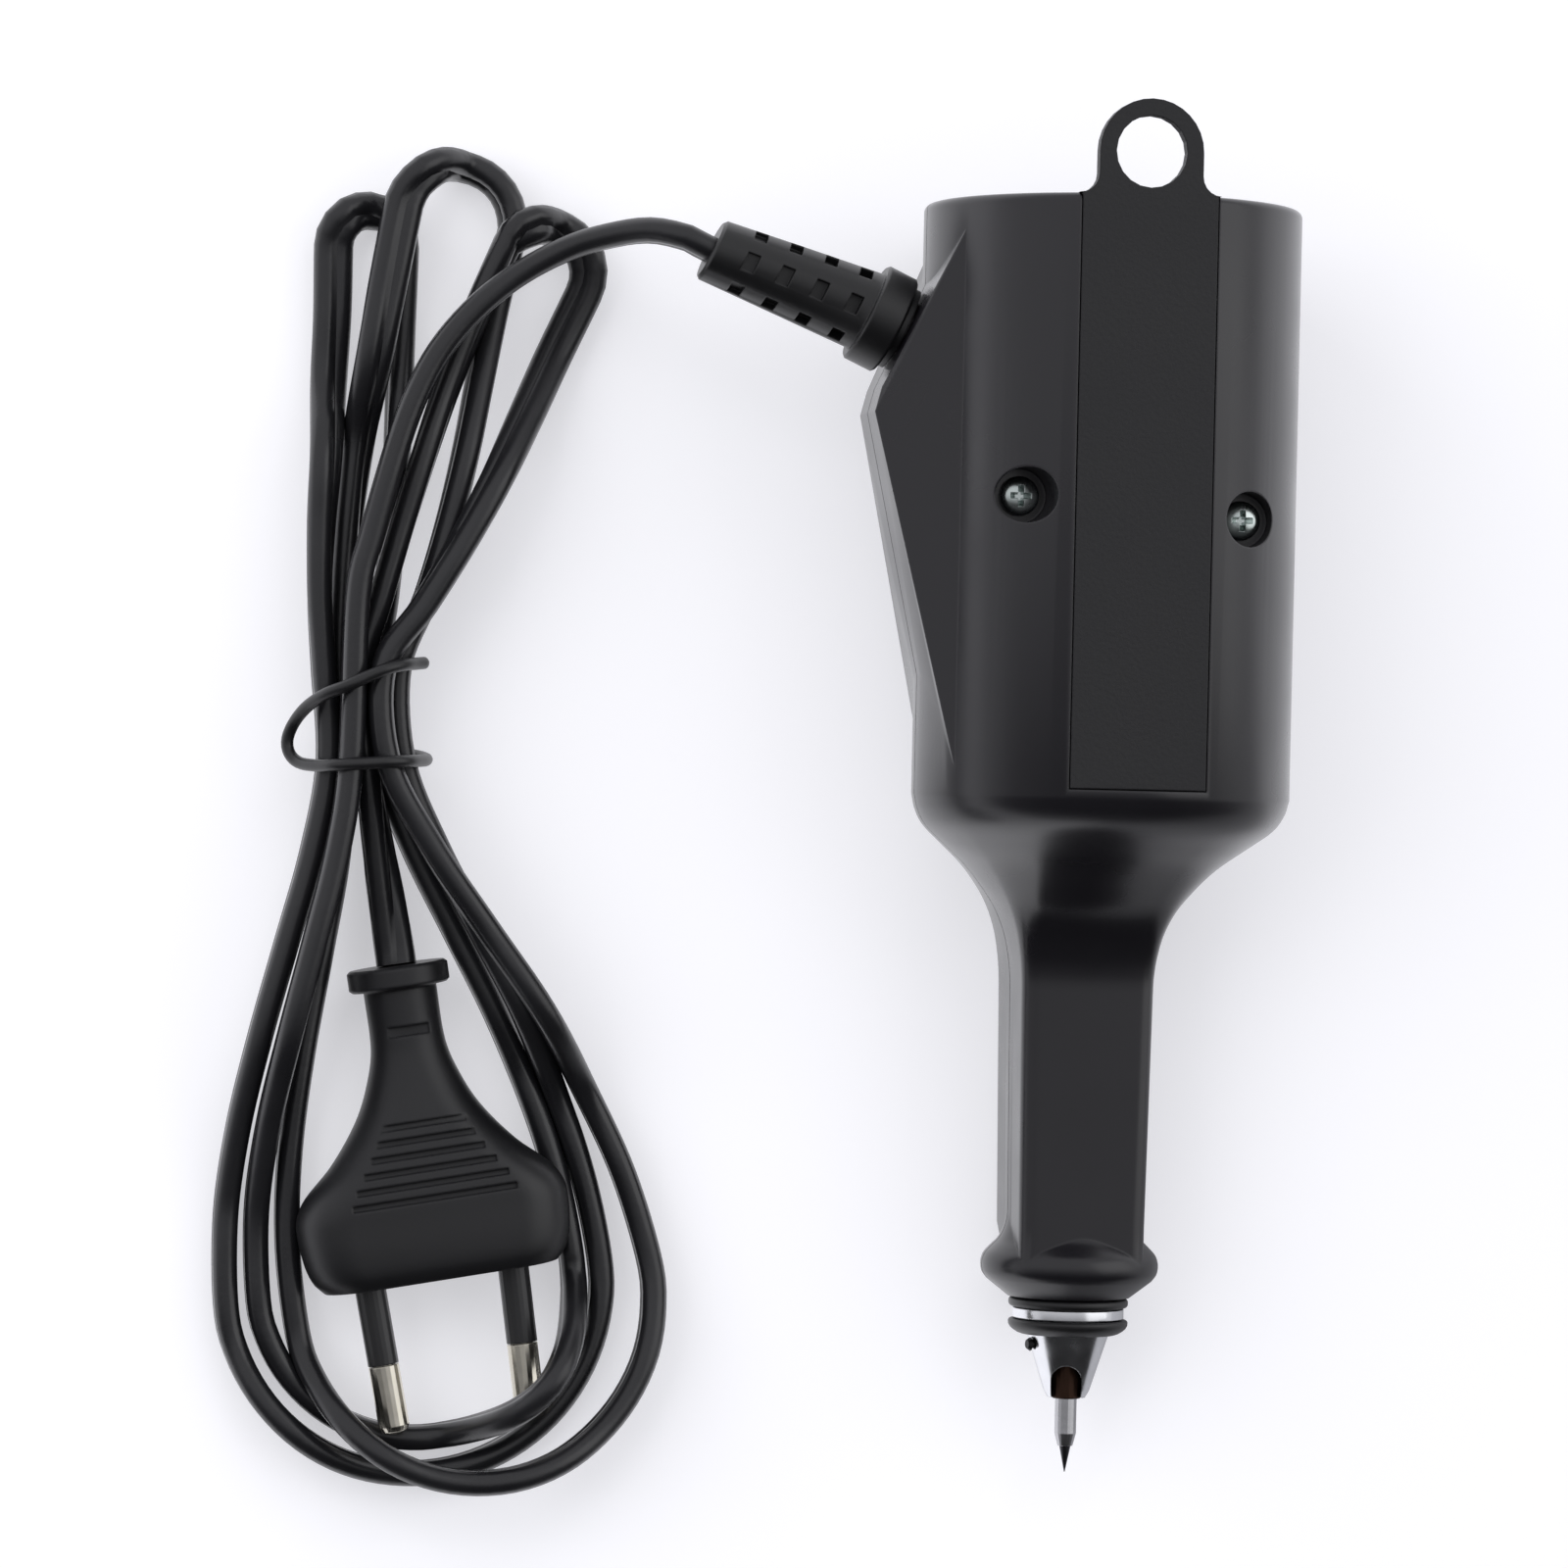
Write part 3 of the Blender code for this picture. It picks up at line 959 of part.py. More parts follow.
def hank_loop(k):
    """One loop: a leg out of the waist, a round bend and a leg back into it."""
    waist = waist_ends()[1 - k % 2]
    reach = Vector((*LOOP_END_MM[k], 0)) * MM - waist
    half = LOOP_HALF_WIDTH_MM[k] * MM
    heights = [height * MM for height in LOOP_HEIGHTS_MM[k]]
    leg = reach.length - half
    along = reach.normalized()
    across = Vector((abs(along.y), -along.x * math.copysign(1, along.y), 0))
    side = 1 if k % 2 else -1

    def leg_points(first, sign, height, shares):
        points = []
        start, land = shares
        for i in range(LEG_STEPS):
            share = i / LEG_STEPS
            swell = math.sin(math.pi * share / 2)
            spread = Vector((first.x - waist.x, 0, 0)) * (1 - eased(share / SPREAD_SHARE))
            point = waist + along * share * leg + across * sign * half * swell + spread
            point.z = first.z + (height - first.z) * eased((share - start) / (land - start))
            points.append(point)
        return points

    points = leg_points(pass_place(k, waist), side, heights[0], LEG_OUT_SHARES)
    for i in range(BEND_STEPS + 1):
        turn = math.pi * i / BEND_STEPS
        point = waist + along * (leg + half * math.sin(turn)) + across * side * half * math.cos(turn)
        place = (len(heights) - 1) * i / BEND_STEPS
        step = min(int(place), len(heights) - 2)
        point.z = heights[step] + (heights[step + 1] - heights[step]) * eased(place - step)
        points.append(point)
    return points + leg_points(pass_place(k + 1, waist), -side, heights[-1], LEG_BACK_SHARES)[::-1]


def hank_route():
    top, end = waist_ends()
    straight = (end - top).normalized() * CORD_DIAMETER
    last = len(PASS_SLOTS) - 1
    points = [pass_place(0, top) - straight, pass_place(0, top)]
    for k in range(last):
        points += hank_loop(k)
    return points + [pass_place(last, end), pass_place(last, end) + straight]


def least_gap(points, diameter):
    """The least distance between the surfaces of stretches that aren't neighbours along the cord."""
    fine = [a.lerp(b, i / GAP_STEPS) for a, b in zip(points, points[1:]) for i in range(GAP_STEPS)] + [points[-1]]
    lengths = [0.0]
    for first, second in zip(fine, fine[1:]):
        lengths.append(lengths[-1] + (second - first).length)
    least = min((a - b).length for i, a in enumerate(fine) for j, b in enumerate(fine[:i])
                if lengths[i] - lengths[j] > 4 * diameter)
    return least - diameter, lengths[-1]


def make_cord():
    hank = hank_route()
    gap, length = least_gap(hank, CORD_DIAMETER)
    print(f"Hank: {length / MM:.0f} mm of cord, least gap to itself {gap / MM:.2f} mm")
    if gap < LEAST_GAP:
        print("The hank's loops lie too near each other")
    radius = CORD_DIAMETER / 2
    wire("cord_hank", hank, radius, CORD, None, 1)
    out = Vector((-math.cos(BOSS_SLOPE), math.sin(BOSS_SLOPE), 0))
    tip = PLACE + relief_face() + out * (relief_tip() + FIT_GAP)
    back = (hank[0] - hank[1]).normalized()
    lead = [hank[0] + back * FIT_GAP, hank[0] + back * (FIT_GAP + CORD_DIAMETER)]
    lead += [Vector(point) * MM for point in LEAD_ROUTE_MM]
    lead += [tip + out * 1.5 * CORD_DIAMETER, tip + out * 0.75 * CORD_DIAMETER, tip]
    wire("cord_lead", smooth_route(lead, LEAD_STEPS), radius, CORD, None, 2)
    on = (hank[-1] - hank[-2]).normalized()
    disc = plug_place()
    above = Vector((-math.sin(plug_turn()), math.cos(plug_turn()), 0))
    tail = [hank[-1] + on * FIT_GAP, hank[-1] + on * (FIT_GAP + CORD_DIAMETER),
            disc + above * (FIT_GAP + CORD_DIAMETER), disc + above * FIT_GAP]
    wire("cord_tail", smooth_route(tail, TAIL_STEPS), radius, CORD, None, 2)


def make_tie():
    """A covered wire: from its free end over the hank, out in a bow, and once round."""
    top, end = waist_ends()
    off = CORD_DIAMETER / 2 + FIT_GAP + TIE_RADIUS
    middle = waist_row(1)
    corners = ((1, 1), (-1, 1), (-2, 0), (-1, -1), (1, -1), (2, 0))
    centres = [Vector((across * WAIST_ACROSS, 0, row * WAIST_UP)) for across, row in corners]
    ring = []
    for i, centre in enumerate(centres):
        before, after = centre - centres[i - 1], centres[(i + 1) % len(centres)] - centre
        start = math.atan2(-before.x, before.z)
        swing = (math.atan2(-after.x, after.z) - start) % (2 * math.pi)
        for step in range(TIE_BEND_STEPS):
            turn = start + swing * step / (TIE_BEND_STEPS - 1)
            ring.append(centre + Vector((math.cos(turn), 0, math.sin(turn))) * off)

    def at(point, share):
        place = top.lerp(end, share)
        return Vector((place.x + point.x, place.y, middle + point.z))

    span = (end - top).length
    early, late = TIE_START_AT / span, TIE_BACK_AT / span
    steps = TIE_BEND_STEPS
    over = ring[:2 * steps]
    reach = centres[2].x - off
    free = over[0] + Vector((TIE_TAIL, 0, -TIE_TAIL))
    points = [at(free, early)] + [at(point, early) for point in over]
    points += [at(Vector((reach - TIE_SIDE_BOW * bow, 0, height * TIE_RADIUS)), early + (late - early) * share)
               for bow, height, share in ((0.45, 2.2, 0.1), (0.9, 0.9, 0.38), (1.0, 0.0, 0.66), (0.62, 0.4, 0.92))]
    around = ring[2 * steps - 1::-1] + ring[:2 * steps:-1]
    points += [at(point, late) for point in around]
    wire("twist_tie", smooth_route(points, TIE_STEPS), TIE_RADIUS, TIE, None, 1)


def plug_turn():
    return math.radians(PLUG_TURN_DEG)


def plug_place():
    return Vector((*DISC_PLACE_MM, 0)) * MM + Vector((0, 0, PLUG_HALF_DEPTH))


def oval_ring(half_width, half_depth, at):
    """A section with round sides, as wide and deep as asked."""
    core = max(half_width - half_depth, 0)
    points = []
    for side in (1, -1):
        for i in range(PLUG_SIDE_STEPS + 1):
            turn = math.pi * (i / PLUG_SIDE_STEPS - 0.5) * side
            points.append((side * core + side * min(half_depth, half_width) * math.cos(turn), -at,
                           half_depth * math.sin(turn)))
    return points


def make_plug():
    plug = empty("plug", plug_place())
    plug.rotation_euler = (0, 0, plug_turn())
    half_depth = PLUG_HALF_DEPTH
    rings = [oval_ring(DISC_HALF_WIDTH, DISC_HALF_DEPTH, at) for at in (0, DISC_LENGTH - CLOSE_GAP)]
    rings += [oval_ring(wide * PLUG_HALF_WIDTH, deep * half_depth, place * PLUG_LENGTH)
              for place, wide, deep in PLUG_SHARES]
    body = add("plug_body", loft(rings), PLUG, plug)
    reach = GRIP_SPAN_SHARE * PLUG_HALF_WIDTH
    for side in (-1, 1):
        for k in range(GRIP_COUNT):
            at = GRIP_AT + k * GRIP_PITCH
            share = share_at([(place, deep) for place, _, deep in PLUG_SHARES], at / PLUG_LENGTH)
            wide = share_at([(place, wide) for place, wide, _ in PLUG_SHARES], at / PLUG_LENGTH)
            surface = share * half_depth
            half = min(reach, wide * PLUG_HALF_WIDTH * GRIP_SPAN_SHARE)
            low, high = sorted((side * (surface - GRIP_DEPTH), side * (half_depth + OVERRUN)))
            groove = box((-half, -at - GRIP_WIDTH / 2, low), (half, -at + GRIP_WIDTH / 2, high))
            combine(body, tool(f"grip_{side}_{k}", groove, plug), "DIFFERENCE")
    surface = PLUG_SHARES[1][2] * half_depth
    notch = box((-NOTCH_HALF_WIDTH, -NOTCH_AT - NOTCH_LENGTH / 2, surface - NOTCH_DEPTH),
                (NOTCH_HALF_WIDTH, -NOTCH_AT + NOTCH_LENGTH / 2, half_depth))
    combine(body, tool("neck_notch", notch, plug), "DIFFERENCE")
    face, seat = PLUG_LENGTH, PLUG_LENGTH - PIN_SEAT
    sleeve_end = face + SLEEVE_LENGTH
    pin_end = sleeve_end + PIN_BARE_LENGTH
    inner = PIN_CORE_RADIUS + CLOSE_GAP
    for side, sign in (("left", -1), ("right", 1)):
        root = (sign * PIN_OFFSET, -face, 0)
        lean = (0, 0, -sign * math.radians(PIN_LEAN_DEG))
        hole = turned([(seat - CLOSE_GAP - face, 0), (seat - CLOSE_GAP - face, PIN_RADIUS + CLOSE_GAP),
                       (OVERRUN, PIN_RADIUS + CLOSE_GAP), (OVERRUN, 0)], SMALL_SIDES)
        combine(body, tool(f"pin_hole_{side}", hole, plug, root, lean), "DIFFERENCE")
        add(f"plug_sleeve_{side}", tube(seat - face, sleeve_end - face, PIN_RADIUS, inner, SMALL_SIDES), SLEEVE,
            plug, root, lean)
        profile = [(seat - face, 0), (seat - face, PIN_CORE_RADIUS), (sleeve_end - face + CLOSE_GAP, PIN_CORE_RADIUS),
                   (sleeve_end - face + CLOSE_GAP, PIN_RADIUS), (pin_end - face - PIN_TIP_ROUND, PIN_RADIUS),
                   (pin_end - face - PIN_TIP_ROUND / 3, PIN_RADIUS - PIN_TIP_ROUND / 3),
                   (pin_end - face, PIN_RADIUS - PIN_TIP_ROUND), (pin_end - face, 0)]
        add(f"plug_pin_{side}", turned(profile, SMALL_SIDES), NICKEL, plug, root, lean)


clear_scene()
TOOL = finish("Cutter", (0.8, 0.2, 0.2), 0.8)
HOUSING = finish("Moulded ABS housing", (0.045, 0.045, 0.055), 0.35)
STRIP = finish("Grained label strip", (0.024, 0.024, 0.026), 0.7)
RUBBER = finish("Black rubber", (0.012, 0.012, 0.012), 0.55)
SCREW_STEEL = finish("Zinc-plated screw", (0.4, 0.43, 0.42), 0.35, 1.0)
BLACK_STEEL = finish("Black oxide steel", (0.02, 0.02, 0.02), 0.4, 1.0)
CHROME = finish("Chromed steel", (0.78, 0.78, 0.8), 0.1, 1.0)
STEEL = finish("Ground steel", (0.55, 0.55, 0.56), 0.3, 1.0)
CARBIDE = finish("Tungsten carbide", (0.12, 0.12, 0.13), 0.35, 1.0)
BRONZE = finish("Sintered bronze", (0.16, 0.09, 0.06), 0.45, 1.0)
BRASS = finish("Brass", (0.7, 0.5, 0.2), 0.35, 1.0)
LAMINATION = finish("Laminated iron", (0.2, 0.2, 0.21), 0.5, 1.0)
NYLON = finish("White nylon", (0.75, 0.73, 0.68), 0.5)
WINDING = finish("Enamelled copper winding", (0.45, 0.16, 0.07), 0.4, 0.8)

WIRE_COVER = finish("Wire insulation", (0.35, 0.36, 0.4), 0.5)
CORD = finish("Black PVC cord", (0.012, 0.012, 0.013), 0.45)
TIE = finish("Black covered tie", (0.01, 0.01, 0.01), 0.6)
PLUG = finish("Black moulded PVC plug", (0.02, 0.02, 0.02), 0.5)
SLEEVE = finish("Black pin sleeve", (0.015, 0.015, 0.015), 0.45)
NICKEL = finish("Nickel-plated brass pin", (0.62, 0.6, 0.55), 0.25, 1.0)

PEN = empty("pen", PLACE)
make_shells()
make_strip()
for side_name, screw_x, screw_at in screw_places():
    make_screw(f"housing_screw_{side_name}", screw_x, screw_at)
make_nose_rings()
make_nose_cone()
make_striker()
make_spring_and_guide()
make_magnet()
make_relief()
make_wires()
make_cord()
make_tie()
make_plug()
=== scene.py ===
# %% [markdown]
# # An electric engraving pen on a white table
#
# The pen lies on its back: a black moulded housing, a chromed needle nose and a flat mains lead that is
# tied in a hank round its plug. Its parts come in as finished solids, and this lesson gives them their
# surfaces. The pieces that the eye follows are made new, in the same sizes and with finer shape: the
# cord and its tie, the plug's body, both halves of the housing, the strain relief, the two screws, and
# the rings, band and cone of the nose.

# %% Load the solids
import json
import math
import bmesh
import bpy
from mathutils import Matrix, Vector


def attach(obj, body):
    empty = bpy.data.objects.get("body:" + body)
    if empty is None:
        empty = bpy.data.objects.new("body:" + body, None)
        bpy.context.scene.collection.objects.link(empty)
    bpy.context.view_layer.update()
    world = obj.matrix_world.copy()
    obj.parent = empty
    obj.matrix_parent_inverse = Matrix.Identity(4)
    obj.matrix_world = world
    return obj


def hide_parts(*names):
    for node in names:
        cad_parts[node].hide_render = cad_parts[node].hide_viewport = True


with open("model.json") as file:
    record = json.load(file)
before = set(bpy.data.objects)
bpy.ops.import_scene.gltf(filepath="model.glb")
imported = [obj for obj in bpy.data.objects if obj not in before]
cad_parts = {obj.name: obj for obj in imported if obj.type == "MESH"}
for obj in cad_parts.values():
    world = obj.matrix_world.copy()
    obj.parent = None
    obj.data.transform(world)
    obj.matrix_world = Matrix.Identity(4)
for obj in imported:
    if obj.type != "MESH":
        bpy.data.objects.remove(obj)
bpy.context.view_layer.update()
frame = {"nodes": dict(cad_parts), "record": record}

MM = 0.001

# %% [markdown]
# ## The camera
#
# The photograph looks down on the pen from a little to its left, with a long lens, so that parallel
# edges stay nearly parallel. A camera's matrix holds three directions as columns: its right, its up and
# its back. Writing those out is plainer here than aiming the camera at a target.

# %% Camera
SWING = math.radians(9.3)
ROLL = math.radians(1.3)
CAMERA_PLACE = Vector((-172.0, 1.0, 846.6)) * MM
LENS = 151.2

back = Vector((-math.sin(SWING), 0, math.cos(SWING)))
side = Vector((math.cos(SWING), 0, math.sin(SWING)))
right = math.cos(ROLL) * side + math.sin(ROLL) * Vector((0, 1, 0))
up = back.cross(right)

camera = bpy.data.objects.new("camera", bpy.data.cameras.new("camera"))
camera.data.lens = LENS
camera.data.sensor_width = 36
camera.data.clip_start = 0.01
camera.matrix_world = Matrix.Translation(CAMERA_PLACE) @ Matrix((right, up, back)).transposed().to_4x4()
bpy.context.scene.collection.objects.link(camera)
bpy.context.scene.camera = camera
bpy.context.scene.view_settings.view_transform = "Standard"
print("Camera stands", round(CAMERA_PLACE.length, 3), "m away")

# %% [markdown]
# ## Colours and nodes
#
# Colours are written as the hex values that a screen shows, and one function turns them to the linear
# values that a shader needs. One more function adds a shader node, with its settings and links, and a
# third starts a material from a recipe, so that each recipe says only what is its own.

# %% Helpers for materials
def hex_colour(code):
    channels = [int(code[i:i + 2], 16) / 255 for i in (1, 3, 5)]
    linear = [c / 12.92 if c <= 0.04045 else ((c + 0.055) / 1.055) ** 2.4 for c in channels]
    return (*linear, 1.0)


def add_node(material, kind, inputs=(), **settings):
    """Adds a node. Inputs are values, or outputs to link, by socket name or number."""
    tree = material.node_tree
    made = tree.nodes.new(kind)
    for name, value in settings.items():
        setattr(made, name, value)
    for socket, value in dict(inputs).items():
        if isinstance(value, bpy.types.NodeSocket):
            tree.links.new(value, made.inputs[socket])
        else:
            made.inputs[socket].default_value = value
    return made


def new_material(name, inputs):
    """A material with one Principled shader, set and linked as asked."""
    material = bpy.data.materials.new(name)
    material.use_nodes = True
    shader = material.node_tree.nodes["Principled BSDF"]
    for socket, value in inputs(material).items():
        if isinstance(value, bpy.types.NodeSocket):
            material.node_tree.links.new(value, shader.inputs[socket])
        else:
            shader.inputs[socket].default_value = value
    return material


def scale_for(size_mm):
    """A noise's scale, so that one of its cells is this large."""
    return 1 / (size_mm * MM)

# %% [markdown]
# ## The table and the light
#
# The photograph was taken on a white sweep, and its background is nearly white everywhere. Turning the
# lamps up until the floor burns out would wash out the black plastic too. So the floor and the world
# glow only for rays from the camera and for reflections, and the lamps stay at a plain level.
#
# Black plastic shows mostly what it mirrors. In the photograph its sides mirror something white, its top
# something grey, and every face that tips towards the needle is black. So in reflections the sky is
# bright to the left and right, plain overhead and dark towards the needle, and the floor mirrors as if a
# black card lay on it beyond the funnel.

# %% World
BACKDROP = hex_colour("#f8f8fc")
SEEN_LEVEL, LIGHT_LEVEL = 0.9, 0.45
PANEL_LEVEL, OVERHEAD_LEVEL, DARK_LEVEL = 0.9, 0.78, 0.02
# Between which parts of a direction each level comes in: sideways for the panels, and along the pen,
# where -1 points past the needle.
PANEL_SIDE, PANEL_ALONG, OVERHEAD_ALONG = (0.8, 1.0), (-0.6, -0.15), (-0.5, 0.15)

world = bpy.data.worlds.new("studio")
world.use_nodes = True
bpy.context.scene.world = world
glow = world.node_tree.nodes["Background"]
path = add_node(world, "ShaderNodeLightPath")
seen = add_node(world, "ShaderNodeMath", {0: path.outputs["Is Camera Ray"], 1: path.outputs["Is Transmission Ray"]},
                operation="MAXIMUM")
level = add_node(world, "ShaderNodeMapRange", {"Value": seen.outputs[0], "To Min": LIGHT_LEVEL,
                                               "To Max": SEEN_LEVEL})
way = add_node(world, "ShaderNodeTexCoord")
way = add_node(world, "ShaderNodeSeparateXYZ", {0: way.outputs["Generated"]})
aside = add_node(world, "ShaderNodeMath", {0: way.outputs["X"]}, operation="ABSOLUTE")
panels = add_node(world, "ShaderNodeMapRange", {"Value": aside.outputs[0], "From Min": PANEL_SIDE[0],
                                                "From Max": PANEL_SIDE[1], "To Min": 0.0, "To Max": PANEL_LEVEL},
                  interpolation_type="SMOOTHSTEP")
panel_end = add_node(world, "ShaderNodeMapRange", {"Value": way.outputs["Y"], "From Min": PANEL_ALONG[0],
                                                   "From Max": PANEL_ALONG[1]})
panels = add_node(world, "ShaderNodeMath", {0: panels.outputs["Result"], 1: panel_end.outputs["Result"]},
                  operation="MULTIPLY")
overhead = add_node(world, "ShaderNodeMapRange", {"Value": way.outputs["Y"], "From Min": OVERHEAD_ALONG[0],
                                                  "From Max": OVERHEAD_ALONG[1], "To Min": DARK_LEVEL,
                                                  "To Max": OVERHEAD_LEVEL},
                    interpolation_type="SMOOTHSTEP")
mirrored = add_node(world, "ShaderNodeMath", {0: panels.outputs[0], 1: overhead.outputs["Result"]},
                    operation="MAXIMUM")
level = add_node(world, "ShaderNodeMix", {"Factor": path.outputs["Is Glossy Ray"], "A": level.outputs["Result"],
                                          "B": mirrored.outputs[0]})
glow.inputs["Color"].default_value = BACKDROP
world.node_tree.links.new(level.outputs[0], glow.inputs["Strength"])
print("Sky: level", SEEN_LEVEL, "seen,", LIGHT_LEVEL, "as light,", DARK_LEVEL, "to", PANEL_LEVEL, "mirrored")

# %% [markdown]
# ## The paper sweep
#
# A sweep is a roll of matt paper under and behind the subject. One large square is enough here, because
# the camera looks almost straight down on it. Its glow is added for the camera's rays and for reflections
# only, so it doesn't light the pen from below. The card is two soft steps in place, not an object, so
# that it casts no shadow.

# %% Floor
FLOOR_SIZE = 6.0
PAPER_GLOW = 0.5
MIRRORED_PAPER, MIRRORED_CARD = 0.85, 0.03
CARD_SIDE_MM, CARD_TOP_MM = (-6, 4), (-45, -20)


def paper_sweep(material):
    path = add_node(material, "ShaderNodeLightPath")
    seen = add_node(material, "ShaderNodeMath", {0: path.outputs["Is Camera Ray"],
                                                 1: path.outputs["Is Transmission Ray"]}, operation="MAXIMUM")
    seen = add_node(material, "ShaderNodeMath", {0: seen.outputs[0], 1: PAPER_GLOW}, operation="MULTIPLY")
    place = add_node(material, "ShaderNodeNewGeometry")
    place = add_node(material, "ShaderNodeSeparateXYZ", {0: place.outputs["Position"]})
    side, top = [add_node(material, "ShaderNodeMapRange", {"Value": place.outputs[axis], "From Min": start * MM,
                                                           "From Max": end * MM, "To Min": low, "To Max": high})
                 for axis, (start, end), low, high in (("X", CARD_SIDE_MM, MIRRORED_PAPER, MIRRORED_CARD),
                                                       ("Y", CARD_TOP_MM, MIRRORED_CARD, MIRRORED_PAPER))]
    card = add_node(material, "ShaderNodeMath", {0: side.outputs["Result"], 1: top.outputs["Result"]},
                    operation="MAXIMUM")
    level = add_node(material, "ShaderNodeMath", {0: path.outputs["Is Glossy Ray"], 1: card.outputs[0]},
                     operation="MULTIPLY")
    level = add_node(material, "ShaderNodeMath", {0: seen.outputs[0], 1: level.outputs[0]}, operation="ADD")
    return {"Base Color": hex_colour("#c8c8cc"), "Roughness": 0.9, "Specular IOR Level": 0.1,
            "Emission Color": BACKDROP, "Emission Strength": level.outputs[0]}


floor_mesh = bpy.data.meshes.new("floor")
floor_mesh.from_pydata([(x * FLOOR_SIZE, y * FLOOR_SIZE, 0) for x, y in ((-1, -1), (1, -1), (1, 1), (-1, 1))],
                       [], [(0, 1, 2, 3)])
floor = bpy.data.objects.new("floor", floor_mesh)
bpy.context.scene.collection.objects.link(floor)
floor_mesh.materials.append(new_material("Matt white paper sweep", paper_sweep))
print("Floor:", 2 * FLOOR_SIZE, "m wide")

# %% [markdown]
# ## Lamps
#
# Three softboxes stand round the table, as they would in a product studio, and an area lamp is just
# that. Only the one at the right may show in reflections, because the sky already draws the others'.

# %% Lamps
# Each row holds a name, a place and a width in metres, and a power in watts.
LAMPS = (
    ("key_softbox", (-0.8, 0.3, 0.7), 1.0, 7.0),
    ("fill_softbox", (0.8, 0.2, 0.7), 1.0, 2.5),
    ("top_softbox", (0.0, 0.8, 1.0), 0.9, 4.0),
)

for name, place, size, power in LAMPS:
    lamp = bpy.data.objects.new(name, bpy.data.lights.new(name, "AREA"))
    lamp.data.size = size
    lamp.data.energy = power
    lamp.location = place
    lamp.rotation_euler = Vector(place).to_track_quat("Z", "Y").to_euler()
    lamp.visible_glossy = name == "fill_softbox"
    bpy.context.scene.collection.objects.link(lamp)
print("Lamps:", ", ".join(lamp[0] for lamp in LAMPS))

# %% [markdown]
# ## The cord's route
#
# A mains lead has a fixed length, so its route is settled first: out of the strain relief, down to the
# tie, three times round the hank's lower and upper loops, and out to the plug. The free stretch could be
# drawn as a curve object, but one list of points serves the whole cord here. These first ones are read
# off the photograph.

# %% Route of the lead
# The cord pulls the relief's tip across by this many millimetres, towards the needle, and leaves there.
RELIEF_SAG = 2.0
RELIEF_DOWN = Vector((-0.4226, -0.9063, 0))
RELIEF_TIP = (Vector((-47.43, 70.04, 24.1)) + RELIEF_DOWN * RELIEF_SAG) * MM
RELIEF_OUT = Vector((-0.9063, 0.4226, 0))
LEAD_ROUTE_MM = ((-90.9, 23.5, 13.4), (-89.3, 31.4, 13.4), (-86.4, 42.4, 13.4), (-84.1, 49.2, 13.4),
                 (-81.0, 55.3, 13.4), (-76.4, 60.9, 13.4), (-71.0, 65.3, 13.6), (-64.8, 68.7, 15.2),
                 (-59.2, 70.3, 18.6), (-55.2, 70.6, 21.6))
LEAD_START_MM = (0.0, 1.6, 3.4)

lead = [(RELIEF_TIP + RELIEF_OUT * past * MM, 0.0) for past in LEAD_START_MM]
lead += [(Vector(point) * MM, 0.0) for point in LEAD_ROUTE_MM[::-1]]
print("Route points in the lead:", len(lead))

# %% [markdown]
# ## The hank's loops
#
# A new cord comes wound on a former, so every loop is alike: a leg that swells out of the waist, a round
# bend and a leg back. A few sizes describe each one, which is easier to fit to a photograph than
# hundreds of points. The heights lift a stretch where it passes over another, and every pass through the
# tied waist has a slot of its own.

# %% Sizes of the hank
WAIST_TOP = Vector((-89.8, 14.6, 0)) * MM
WAIST_END = Vector((-88.9, 2.6, 0)) * MM
WAIST_ACROSS = 2.4 * MM
WAIST_UP = 4.6 * MM
WAIST_LOW = 4.2 * MM
# The passes' slots in the waist, counted in steps across and steps up.
PASS_SLOTS = ((-1, 2), (1, 0), (-2, 1), (2, 1), (-1, 0), (1, 2), (0, 1))
LOOP_END_MM = ((-77.8, -84.0), (-89.4, 73.4), (-77.6, -88.6), (-77.0, 79.4), (-67.6, -88.4), (-64.6, 71.6))
LOOP_HALF_WIDTH_MM = (20.4, 4.6, 24.3, 7.4, 23.1, 6.0)
# A leg swells as a sine from the waist to the bend. A power above 1 keeps the lower loops slim at first.
LOOP_SWELL_POWER = (1.4, 1.0)
# Each loop's heights: at the leg out, three places of the bend and the leg back.
LOOP_HEIGHTS_MM = ((2.7, 1.9, 2.0, 14.8, 1.9), (2.7, 1.9, 2.6, 4.6, 3.5), (2.0, 5.1, 2.1, 2.5, 2.6),
                   (3.7, 3.4, 2.7, 8.3, 8.3), (2.6, 12.6, 11.7, 7.3, 4.4), (3.1, 3.8, 3.3, 8.3, 7.5))
# How far the flat cord is turned off its edge at the same five places. Past 60 degrees its wide side
# shows from above.
LOOP_TURN_DEG = ((0, 0, 0, 0, 0), (10, 25, 60, 70, 75), (0, 0, 0, 0, 0), (15, 15, 20, 55, 80),
                 (0, 0, 0, 0, 0), (55, 60, 70, 80, 20))
LEG_STEPS = 6
BEND_STEPS = 12
# The shares of a leg between which its height goes from the waist's to the bend's, and the share by
# which its own slot in the waist no longer moves it sideways.
LEG_OUT = (0.397, 0.906)
LEG_BACK = (0.483, 0.702)
SLOT_FADE = 0.9
print("Loops in the hank:", len(LOOP_END_MM))

# %% Points of one loop
def eased(share):
    share = min(max(share, 0.0), 1.0)
    return share * share * (3 - 2 * share)


def between(values, share):
    """Reads a row of values as one eased curve."""
    place = (len(values) - 1) * share
    step = min(int(place), len(values) - 2)
    return values[step] + (values[step + 1] - values[step]) * eased(place - step)


def pass_place(k, end):
    across, row = PASS_SLOTS[k]
    return end + Vector((across * WAIST_ACROSS, 0, WAIST_LOW + row * WAIST_UP))


